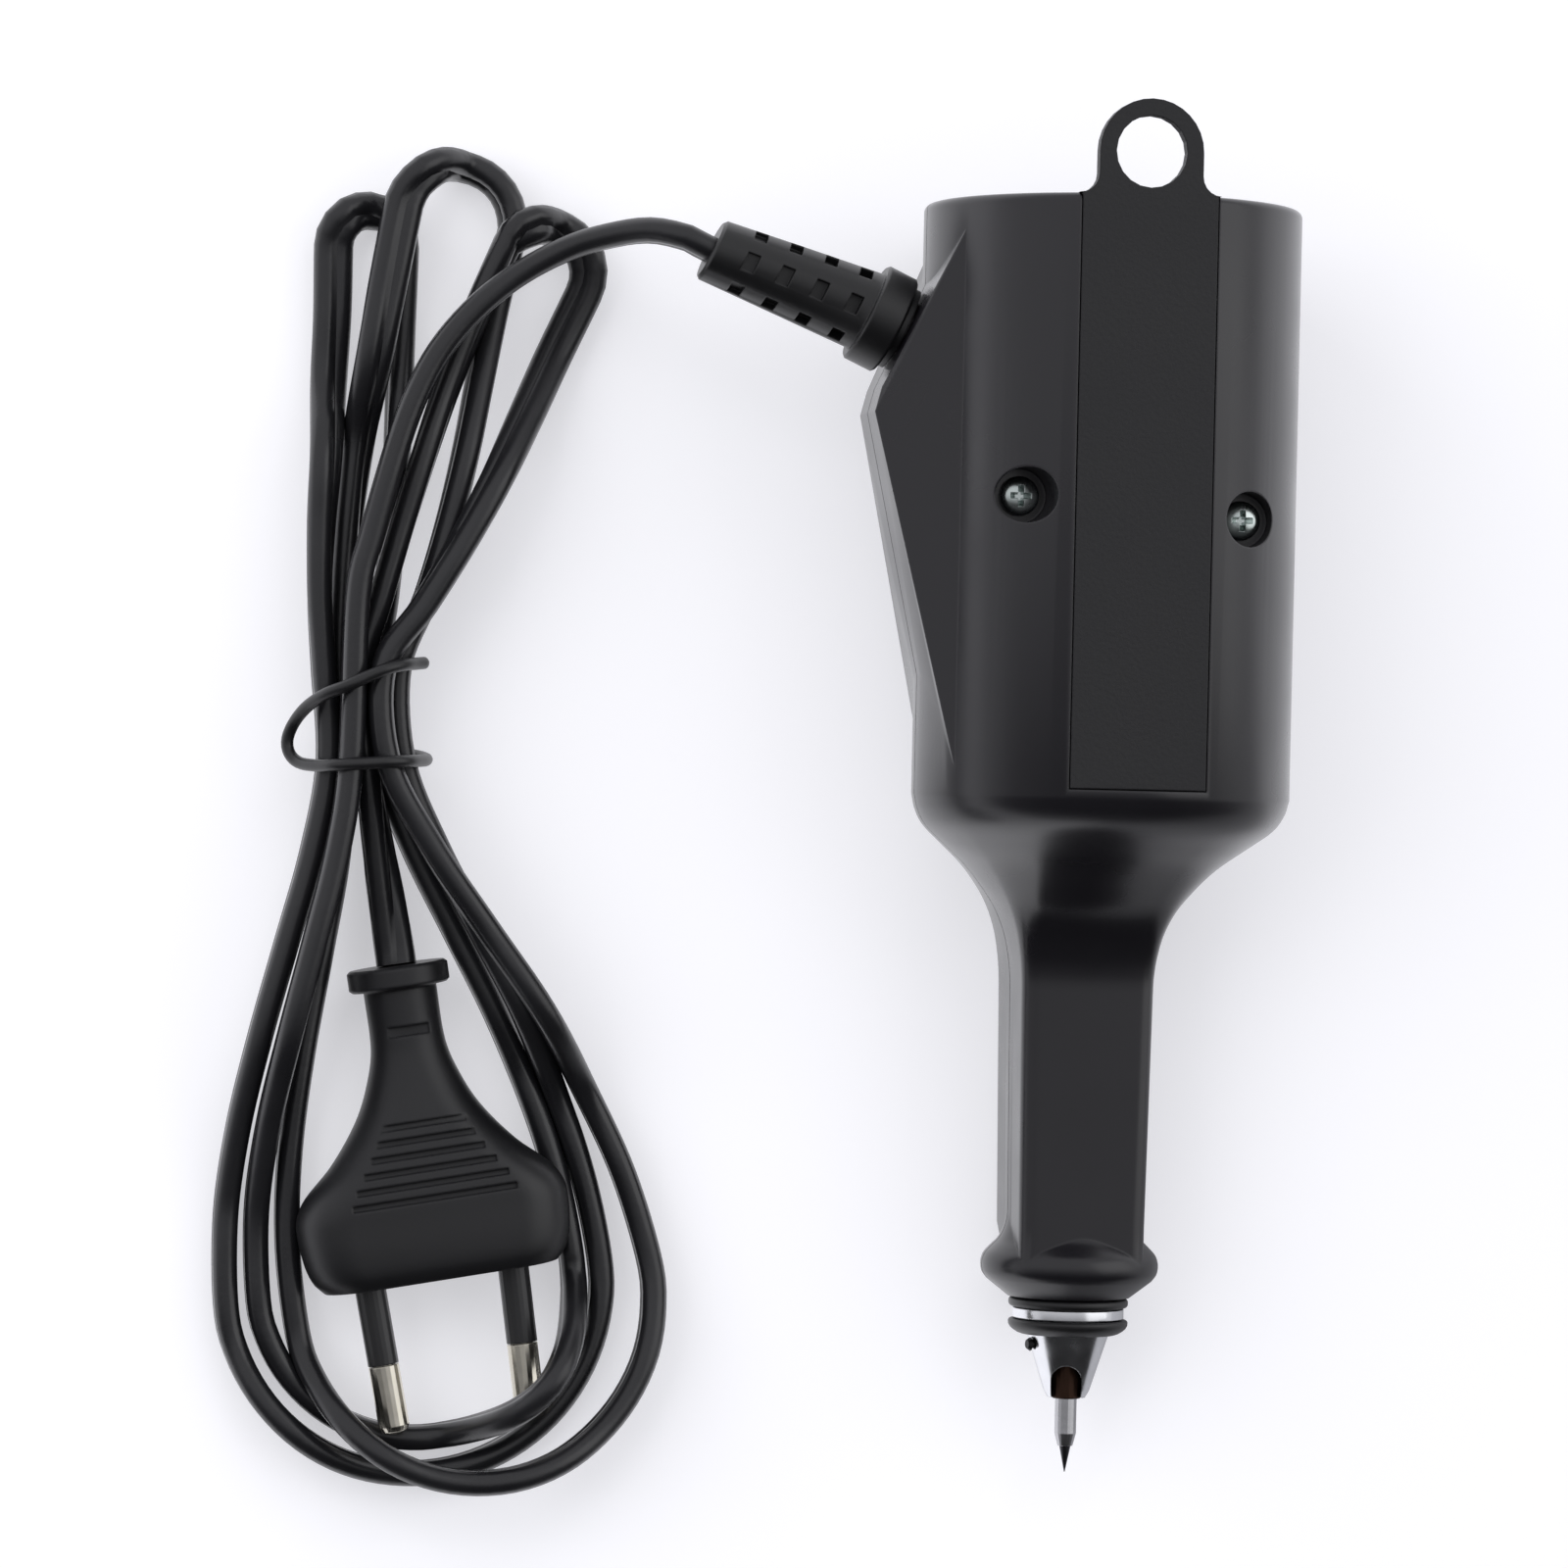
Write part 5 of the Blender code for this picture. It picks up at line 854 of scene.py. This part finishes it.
def boss_form(inset):
    across, along = inset * math.cos(BOSS_SLOPE), inset * math.sin(BOSS_SLOPE)
    edge_at = BOSS_TOP + (BOSS_REACH - BOSS_CHAMFER - BOSS_ROOT) / math.tan(BOSS_SLOPE)
    corners = ((-BOSS_ROOT + across, BOSS_TOP + along, BOSS_HALF - inset),
               (-BOSS_REACH + BOSS_CHAMFER + across, edge_at + along, BOSS_CREST_HALF - across),
               (-BOSS_REACH + inset, edge_at + BOSS_CREST, BOSS_CREST_HALF - across),
               (-RADIUS + inset, BOSS_FOOT - inset, BOSS_FOOT_HALF),
               (-BOSS_ROOT + inset, BOSS_END - inset, BOSS_HALF - inset),
               (-RADIUS / 2, BOSS_TOP + along, BOSS_HALF - inset), (-RADIUS / 2, BOSS_FOOT, BOSS_HALF - inset))
    bm = bmesh.new()
    for x, at, half in corners:
        for side in (-1, 1):
            bm.verts.new((x, -at, side * half))
    bmesh.ops.convex_hull(bm, input=bm.verts)
    return bm


def relief_matrix():
    """From a piece made down the pen to one that points out of the wedge's sloping face."""
    face = Vector((-BOSS_ROOT - (RELIEF_AT - BOSS_TOP) * math.tan(BOSS_SLOPE), -RELIEF_AT, 0))
    return Matrix.Translation(face) @ Matrix.Rotation(-math.pi / 2 - BOSS_SLOPE, 4, "Z")


def half_space(lift, far):
    """Everything on one side of the line where the two mouldings meet."""
    line = [(PAST_RIM, lift)] + [(-at, lift - DROP * funnel_share(at)) for at in FUNNEL_PLACES]
    line += [(-PAST_NEEDLE, lift - DROP), (-PAST_NEEDLE, far), (PAST_RIM, far)]
    return prism(line, -PAST_SIDE, PAST_SIDE, lambda point, x: (x, point[0], point[1]))


def post(x, at, low, high, radius, sides=48):
    outline = [(x + radius * math.cos(a), at + radius * math.sin(a)) for a in circle(sides)]
    return prism(outline, low, high, upright)


def box(x, at, z):
    return prism([(x[0], at[0]), (x[1], at[0]), (x[1], at[1]), (x[0], at[1])], z[0], z[1], upright)


print("The wedge stands", round(BOSS_REACH - RADIUS, 1), "mm off the barrel")

# %% [markdown]
# ## The two shells
#
# Each half of the housing is one moulding with a wall all round. It is the outer form with the collar and
# the wedge joined on, and then the hollow, the relief's bore and the other half's side cut away. The
# screws stand in posts: a clear hole under a wide bore in the front half, and a pilot in the rear one.
# The front half also has a channel for the strip, with a thicker wall under it and holes for two pegs.

# %% Tools for the shells
SCREW_ASIDE = 14.2
SCREW_PLACES = ((-SCREW_ASIDE, 37.6), (SCREW_ASIDE, 39.9))
POST_RADIUS, BORE_RADIUS, CLEAR_RADIUS, PILOT_RADIUS = 4.2, 3.5, 1.8, 1.65
PILOT_FLOOR, BORE_DEPTH = -15.3, 5.87
BORE_FLOOR = math.sqrt(RADIUS ** 2 - SCREW_ASIDE ** 2) - BORE_DEPTH
STRIP_HALF, STRIP_THICK, STRIP_GAP, STRIP_END = 8.6, 1.8, 0.15, 74.0
STRIP_TOP = math.sqrt(RADIUS ** 2 - STRIP_HALF ** 2)
STRIP_LOW = STRIP_TOP - STRIP_THICK
PAD_HALF, PAD_WALL = 10.6, 2
PEG_PLACES, PEG_RADIUS, PEG_DEPTH, PEG_SIDES = (11.1, 62.9), 1.15, 1.5, 24
CORE_LOW, CORE_HIGH, CORE_GAP = -7.0, 5.0, 0.3
WALL_MIDDLE = 23
HALF_GAP = 0.075
RELIEF_BORE, RELIEF_BORE_DEPTH = 4.2, 6.4

hollow = piece("hollow", housing_hollow())
pad = piece("pad", box((-PAD_HALF, PAD_HALF), (0, LENGTH + 1), (STRIP_LOW - PAD_WALL, RADIUS)))
wall_middle = piece("wall_middle", turned([(0, 0), (0, WALL_MIDDLE), (LENGTH, WALL_MIDDLE), (LENGTH, 0)],
                                          4 * QUADRANT))
collar = piece("collar", collar_form())
boss = piece("boss", boss_form(0))
boss_hollow = piece("boss_hollow", boss_form(WALL))
bore_outline = [(-RELIEF_BORE_DEPTH, 0), (-RELIEF_BORE_DEPTH, RELIEF_BORE), (1, RELIEF_BORE), (1, 0)]
relief_bore = piece("relief_bore", turned(bore_outline, 48, relief_matrix()))
carve(hollow, [("DIFFERENCE", pad)], 35)
print("The screws' bores end", round(BORE_FLOOR, 2), "mm above the barrel's middle")

# %% Mould the two shells
shells = {}
for name, upper in (("rear_housing", False), ("front_housing", True)):
    shell = piece(name, housing_form(*NECK_STUB[name]))
    way = 1 if upper else -1
    side = piece("side", half_space(way * HALF_GAP, way * PAST_SIDE))
    steps = [("UNION", collar), ("UNION", boss), ("DIFFERENCE", hollow), ("DIFFERENCE", boss_hollow),
             ("DIFFERENCE", relief_bore), ("INTERSECT", side)]
    tools = [side]
    for i, (x, at) in enumerate(SCREW_PLACES):
        low, high = (CORE_HIGH + CORE_GAP, RADIUS) if upper else (-RADIUS, CORE_LOW - CORE_GAP)
        stand = piece(f"stand_{i}", post(x, at, low, high, POST_RADIUS))
        carve(stand, [("INTERSECT", wall_middle)], 35)
        if upper:
            cuts = [piece(f"clear_{i}", post(x, at, 0, RADIUS, CLEAR_RADIUS)),
                    piece(f"bore_{i}", post(x, at, BORE_FLOOR, RADIUS, BORE_RADIUS))]
        else:
            cuts = [piece(f"pilot_{i}", post(x, at, PILOT_FLOOR, 0, PILOT_RADIUS))]
        steps += [("UNION", stand)] + [("DIFFERENCE", cut) for cut in cuts]
        tools += [stand] + cuts
    if upper:
        half = STRIP_HALF + STRIP_GAP
        channel = piece("channel", box((-half, half), (-1, STRIP_END + STRIP_GAP),
                                       (STRIP_LOW - STRIP_GAP, RADIUS + 1)))
        pegs = [piece(f"peg_{at}", post(0, at, STRIP_LOW - PEG_DEPTH, RADIUS, PEG_RADIUS, PEG_SIDES))
                for at in PEG_PLACES]
        steps += [("DIFFERENCE", channel)] + [("DIFFERENCE", peg) for peg in pegs]
        tools += [channel] + pegs
    print(name, "has", carve(shell, steps, 24), "faces")
    drop_tools(tools)
    shells[name] = shell
drop_tools([hollow, pad, wall_middle, collar, boss, boss_hollow, relief_bore])
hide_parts("rear_shell")
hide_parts("front_shell")
for shell in shells.values():
    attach(shell, "housing")
    shell.data.materials.append(finishes["housing"])

# %% [markdown]
# ## Strain relief
#
# The relief is one rubber moulding that tapers to the cord, with four rows of slots round it that let it
# bend. It is turned straight and its slots are cut square to it. Then its points are moved across along a
# power curve, least at the flange and most at the tip, because the tied cord pulls it towards the needle.
# Bending a finished mesh keeps the slots even, which cutting a bent form would not.

# %% Strain relief
RELIEF_TIP_AT, FLANGE_END = 26.6, 5.4
SAG_POWER = 1.2
SLOT_ROWS, SLOTS_ROUND, SLOT_TURN = 4, 6, 4
SLOT_FROM_TIP, SLOT_PITCH, SLOT_FLOOR, SLOT_TOP = 4.9, 4.65, 3.55, 7.5
SLOT_HALF_WIDTH, SLOT_HALF_LENGTH = 1.2, 0.85
FLANK = ((-6.8, 0), (-6.8, 5.2), (-2.8, 5.2), (-2.8, 3.9), (0.3, 3.9), (0.3, 5.4), (1.2, 5.4), (1.2, 6.2), (1.5, 6.5),
         (5.1, 6.5), (5.4, 6.2), (5.4, 5.4), (5.7, 5.22), (26.2, 4.12), (26.6, 3.7), (26.6, 0))

relief = piece("strain_relief_moulding", turned(FLANK, 72, relief_matrix()))
slots = []
for row in range(SLOT_ROWS):
    at = RELIEF_TIP_AT - SLOT_FROM_TIP - SLOT_PITCH * row
    for k in range(SLOTS_ROUND):
        slot = box((-SLOT_HALF_WIDTH, SLOT_HALF_WIDTH), (at - SLOT_HALF_LENGTH, at + SLOT_HALF_LENGTH),
                   (SLOT_FLOOR, SLOT_TOP))
        around = Matrix.Rotation(math.radians(SLOT_TURN + 360 / SLOTS_ROUND * k), 4, "Y")
        bmesh.ops.transform(slot, matrix=relief_matrix() @ around, verts=slot.verts)
        slots.append(piece(f"slot_{row}_{k}", slot))
print("Strain relief has", carve(relief, [("DIFFERENCE", slot) for slot in slots], 32), "faces")
drop_tools(slots)
# Each point moves by its share of the way from the flange to the tip.
for vertex in relief.data.vertices:
    past = RELIEF_TIP_AT - (RELIEF_TIP - RELIEF_DOWN * RELIEF_SAG * MM - vertex.co).dot(RELIEF_OUT) / MM
    share = (past - FLANGE_END) / (RELIEF_TIP_AT - FLANGE_END)
    vertex.co += RELIEF_DOWN * RELIEF_SAG * MM * max(share, 0.0) ** SAG_POWER
relief.data.materials.append(finishes["rubber"])
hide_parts("strain_relief")
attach(relief, "housing")

# %% [markdown]
# ## Screws
#
# The screws are cold-headed steel with a domed head, and a punch leaves a cross in it that narrows
# towards the bottom. Here the screw is turned from its profile, and two tapered blades cut the cross.
# The thread is left smooth, because the housing hides it.

# %% Screws
SCREW_TIP = -14.97
SCREW_RADIUS, SCREW_LIFT = 1.5, 0.15
# Each row of a blade: its height from the crown, half its length and half its thickness.
BLADE = ((-1.5, 0.55, 0.22), (0.3, 1.65, 0.42))
HEAD = ((0, 2.45), (0.45, 2.5), (0.9, 2.42), (1.25, 2.15), (1.5, 1.7), (1.68, 1.1), (1.77, 0.5), (1.8, 0))


def blade(x, at, crown, across):
    """A cross's cutter, wide at the crown and narrow at its foot."""
    rings = []
    for height, half, thick in BLADE:
        sizes = (half, thick) if across else (thick, half)
        rings.append([(x + sizes[0] * sx, -at + sizes[1] * sy, crown + height)
                      for sx, sy in ((-1, -1), (1, -1), (1, 1), (-1, 1))])
    return loft(rings)


for i, (x, at) in enumerate(SCREW_PLACES):
    seat = BORE_FLOOR + SCREW_LIFT
    profile = [(SCREW_TIP, 0), (SCREW_TIP + SCREW_RADIUS, SCREW_RADIUS), (seat, SCREW_RADIUS)]
    profile += [(seat + height, radius) for height, radius in HEAD]
    upward = Matrix.Translation((x, -at, 0)) @ Matrix.Rotation(math.radians(-90), 4, "X")
    screw = piece(("left_screw", "right_screw")[i], turned(profile, 48, upward))
    cuts = [piece(f"blade_{i}_{k}", blade(x, at, seat + HEAD[-1][0], k)) for k in (0, 1)]
    print(screw.name, "has", carve(screw, [("DIFFERENCE", cut) for cut in cuts], 40), "faces")
    drop_tools(cuts)
    screw.data.materials.append(finishes["zinc"])
    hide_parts(("housing_screw_left", "housing_screw_right")[i])
    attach(screw, "housing")

# %% [markdown]
# ## Nose
#
# A lathe leaves round metal truly round, and chrome shows the smallest flat. So the cone and the band
# are turned again with many sides. Each is a closed outline of its section, carried once round the
# needle's axis. The soft rings are turned in the same way, with round shoulders.

# %% Turn the band and the rings
AXIS = Matrix.Translation((0, 0, -DROP))
RING_BORE, LOWER_BORE, LOWER_RADIUS, LOWER_START = 6.35, 6.15, 7.4, 142.65
SHOULDER = 0.35
RING_SIDES, BAND_SIDES, CONE_SIDES = 96, 128, 144
QUARTER_STEPS = 6
QUARTER = [math.pi / 2 / QUARTER_STEPS * i for i in range(QUARTER_STEPS + 1)]


def lathe(name, outline, sides, slot, node, body, steps=()):
    """A turned piece on the needle's axis, from a closed outline of (at, radius)."""
    item = piece(name, turned(outline, sides, AXIS, closed=True))
    print(name, "has", carve(item, steps, 30), "faces")
    item.data.materials.append(finishes[slot])
    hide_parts(node)
    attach(item, body)


def rounded_ring(start, end, inner, outer, soft):
    """The outline of a soft ring, with its outer corners rounded."""
    lead_in = [(start + soft - soft * math.cos(a), outer - soft + soft * math.sin(a)) for a in QUARTER]
    lead_out = [(end - soft + soft * math.sin(a), outer - soft + soft * math.cos(a)) for a in QUARTER]
    return [(start, inner)] + lead_in + lead_out + [(end, inner)]


lathe("upper_ring", rounded_ring(139.85, 141.05, RING_BORE, 7.75, 0.5), RING_SIDES, "rubber", "o_ring_upper",
      "housing")
lathe("bright_band", rounded_ring(141.2, 142.5, RING_BORE, 7.2, 0.12), BAND_SIDES, "chrome", "retaining_band",
      "housing")
shoulder = [(LOWER_START + SHOULDER - SHOULDER * math.cos(a), LOWER_RADIUS + SHOULDER * math.sin(a)) for a in QUARTER]
lathe("lower_ring", [(LOWER_START, LOWER_BORE)] + shoulder
      + [(143.35, 7.72), (143.75, 7.5), (144.1, 7.1), (144.4, 6.6), (144.55, LOWER_BORE)], RING_SIDES, "rubber",
      "o_ring_lower", "cone_carrier")

# %% [markdown]
# ## Cone
#
# The cone is turned from bar and chromed. Its mouth has an arched window, milled from one side, with the
# dark guide bush behind it, and a small cross bore for the screw that locks it. A workshop cuts both
# after the turning, and here two Booleans do it in the same order.

# %% Turn the cone
CONE_AT, CONE_END = 144.55, 152.75
WINDOW_HALF, WINDOW_HEIGHT, WINDOW_TURN, ARCH_STEPS = 1.95, 4.3, -12, 24
LOCK_DOWN, LOCK_TURN, LOCK_RADIUS = 1.3, -76, 0.7
LOCK_REACH = (3.38, 5.9)

arch = [(-WINDOW_HALF, CONE_END + 1), (WINDOW_HALF, CONE_END + 1)]
for i in range(ARCH_STEPS + 1):
    a = math.pi * i / ARCH_STEPS
    arch.append((WINDOW_HALF * math.cos(a), CONE_END - WINDOW_HEIGHT + WINDOW_HALF - WINDOW_HALF * math.sin(a)))
aside = AXIS @ Matrix.Rotation(math.radians(WINDOW_TURN), 4, "Y")
window = piece("window", prism(arch, 0, 12, lambda point, height: aside @ Vector((point[0], -point[1], height))))
bore_turn = AXIS @ Matrix.Translation((0, -CONE_AT - LOCK_DOWN, 0)) @ Matrix.Rotation(math.radians(LOCK_TURN), 4, "Y")
bore_turn = bore_turn @ Matrix.Rotation(-math.pi / 2, 4, "X")
start, end = LOCK_REACH
bore_outline = [(start, 0), (start, LOCK_RADIUS), (end, LOCK_RADIUS), (end, 0)]
lock_bore = piece("lock_bore", turned(bore_outline, 24, bore_turn))
lathe("cone_turning", ((136.65, 4.9), (142.65, 4.9), (142.65, 6.0), (144.4, 6.0), (144.55, 5.3), (151.766, 3.0),
                       (152.2, 2.78), (152.75, 2.45), (152.75, 2.1), (147.95, 2.1), (147.95, 1.7), (147.2, 1.7),
                       (145.5, 3.4), (136.65, 3.4)), CONE_SIDES, "chrome", "nose_cone", "cone",
      [("DIFFERENCE", window), ("DIFFERENCE", lock_bore)])
drop_tools([window, lock_bore])

# %% [markdown]
# ## Tie wire
#
# The tie is a soft wire in a PVC cover. From its free end it goes over the hank, out in a bow to one
# side, and once round. Its points are read off the photograph, measured from the waist's middle line. A
# tube is swept along them in mesh code, and each ring is carried on from the last, so it never twists.

# %% Wind the tie
TIE_RADIUS = 0.8 * MM
TIE_MM = ((8.1, 15.4, 11.6), (6.4, 15.2, 13.6), (4.7, 15.0, 15.7), (2.4, 14.4, 16.85), (0.0, 13.4, 16.9),
          (-2.6, 12.2, 16.75), (-5.2, 11.1, 15.0), (-7.4, 9.5, 12.0), (-9.0, 7.4, 9.6), (-9.9, 5.2, 8.7),
          (-9.7, 3.4, 8.9), (-8.6, 2.3, 10.2), (-6.6, 2.0, 13.2), (-4.7, 2.1, 15.7), (-2.4, 2.3, 16.8),
          (0.0, 2.5, 16.9), (2.4, 2.7, 16.8), (4.7, 2.8, 15.7), (6.3, 2.9, 13.2), (7.5, 3.0, 10.4), (7.7, 3.2, 8.6),
          (7.0, 3.5, 5.6), (5.1, 3.8, 2.6), (2.4, 4.0, 0.9), (0.0, 4.2, 0.85), (-2.4, 4.4, 0.9), (-3.6, 4.6, 1.2))
TIE_SIDES = 16
TIE_STEP = 0.5 * MM
# The end rings are smaller, so that the cut ends look rounded.
TIE_END_SHARE = 0.6


def waist_x(y):
    share = (WAIST_TOP.y - y) / (WAIST_TOP.y - WAIST_END.y)
    return WAIST_TOP.x + (WAIST_END.x - WAIST_TOP.x) * share


points = [Vector((waist_x(y * MM) + x * MM, y * MM, z * MM)) for x, y, z in TIE_MM]
rows, tie_length = smooth_rows([(point, 0.0) for point in points], TIE_STEP)
line = [point for point, turn in rows]
normal = Vector((0, 1, 0))
rings = []
for i, point in enumerate(line):
    ahead = line_way(line, i)
    normal = (normal - ahead * normal.dot(ahead)).normalized()
    other = ahead.cross(normal)
    thin = TIE_END_SHARE if i in (0, len(line) - 1) else 1.0
    rings.append([point + (normal * math.cos(a) + other * math.sin(a)) * TIE_RADIUS * thin
                  for a in circle(TIE_SIDES)])
tie = tube("tie_wire", rings)
tie.data.materials.append(finishes["tie"])
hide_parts("twist_tie")
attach(tie, "housing")
print("Tie wire:", round(tie_length * 1000), "mm long")

# %% [markdown]
# ## Plug
#
# The plug is moulded round its pins: a disc, then an oval neck that swells into a wide block. Its front
# and back are nearly flat, with six grip grooves on each and one small notch in the front of the neck. A
# table holds its width and depth down its length, and a smooth curve through it gives the rings.

# %% Sizes of the plug
PLUG_LENGTH, PLUG_HALF_WIDTH, PLUG_HALF_DEPTH = 40.3, 17.6, 6.85
PLUG_TABLE = ((0.074, 0.267, 0.66), (0.25, 0.273, 0.66), (0.35, 0.33, 0.72), (0.47, 0.455, 0.82), (0.6, 0.68, 0.92),
              (0.69, 0.9, 0.98), (0.74, 0.975, 1.0), (0.79, 1.0, 1.0), (0.9, 0.98, 1.0), (0.965, 0.93, 0.96),
              (1.0, 0.86, 0.86))
PLUG_RINGS = 60
OVAL_STEPS = 24
# The disc's rings: half the width, half the depth and the distance from its top.
PLUG_DISC = ((6.1, 5.6, 0.0), (6.5, 6.0, 0.35), (6.5, 6.0, 2.5), (6.1, 5.6, 2.85))
GRIPS, GRIP_START, GRIP_PITCH = 6, 20.2, 1.9
GRIP_HALF, GRIP_DEPTH, GRIP_SHARE = 0.4, 0.6, 0.62
PIN_ASIDE, PIN_LEAN, PIN_BORE, PIN_BORE_DEPTH = 9.3, -1.6, 2.15, 4.15
# The notch's sides, ends and depths.
NOTCH = ((-2.6, 2.6), (7.65, 8.95), (3.5, 7.0))
PLUG_TURN_MATRIX = (Matrix.Translation((DISC_PLACE - PEN_PLACE) / MM) @ Matrix.Rotation(PLUG_TURN, 4, "Z"))
print("The plug is", 2 * PLUG_HALF_WIDTH, "mm wide")

# %% Mould the plug
def oval(half_width, half_depth, at):
    """A ring with rounded sides, whose front and back are flat."""
    core = max(half_width - half_depth, 0)
    side = min(half_width, half_depth)
    ring = []
    for sign in (1, -1):
        for i in range(OVAL_STEPS + 1):
            a = math.pi * (i / OVAL_STEPS - 0.5) * sign
            point = Vector((sign * (core + side * math.cos(a)), -at, half_depth * math.sin(a)))
            ring.append(PLUG_TURN_MATRIX @ point)
    return ring


def plug_box(x, at, z):
    bm = box(x, at, z)
    bmesh.ops.transform(bm, matrix=PLUG_TURN_MATRIX, verts=bm.verts)
    return bm


def plug_size(share, column):
    return read_table([(row[0], row[column]) for row in PLUG_TABLE], share)


neck_share = PLUG_TABLE[0][0]
shares = [neck_share + (1 - neck_share) * i / PLUG_RINGS for i in range(PLUG_RINGS + 1)]
rings = [oval(*row) for row in PLUG_DISC]
rings += [oval(plug_size(share, 1) * PLUG_HALF_WIDTH, plug_size(share, 2) * PLUG_HALF_DEPTH, share * PLUG_LENGTH)
          for share in shares]
plug = piece("plug_moulding", loft(rings))
cuts = []
for side in (-1, 1):
    for k in range(GRIPS):
        at = GRIP_START + GRIP_PITCH * k
        surface = plug_size(at / PLUG_LENGTH, 2) * PLUG_HALF_DEPTH
        half = GRIP_SHARE * plug_size(at / PLUG_LENGTH, 1) * PLUG_HALF_WIDTH
        low, high = sorted((side * (surface - GRIP_DEPTH), side * (surface + 2)))
        cuts.append(piece(f"grip_{side}_{k}", plug_box((-half, half), (at - GRIP_HALF, at + GRIP_HALF), (low, high))))
cuts.append(piece("notch", plug_box(*NOTCH)))
for sign in (-1, 1):
    lean = PLUG_TURN_MATRIX @ Matrix.Translation((sign * PIN_ASIDE, -PLUG_LENGTH, 0))
    lean = lean @ Matrix.Rotation(math.radians(PIN_LEAN * sign), 4, "Z")
    bore_outline = [(-PIN_BORE_DEPTH, 0), (-PIN_BORE_DEPTH, PIN_BORE), (1, PIN_BORE), (1, 0)]
    cuts.append(piece(f"pin_bore_{sign}", turned(bore_outline, 40, lean)))
print("Plug has", carve(plug, [("DIFFERENCE", cut) for cut in cuts], 34), "faces")
drop_tools(cuts)
plug.data.materials.append(finishes["plug"])
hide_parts("plug_body")
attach(plug, "housing")

# %% [markdown]
# ## The cord's own facts
#
# The cord's length is what the drawn route measures, from the relief's tip to the plug.

print("Declared", round(cord_length, 3), "m of cord")
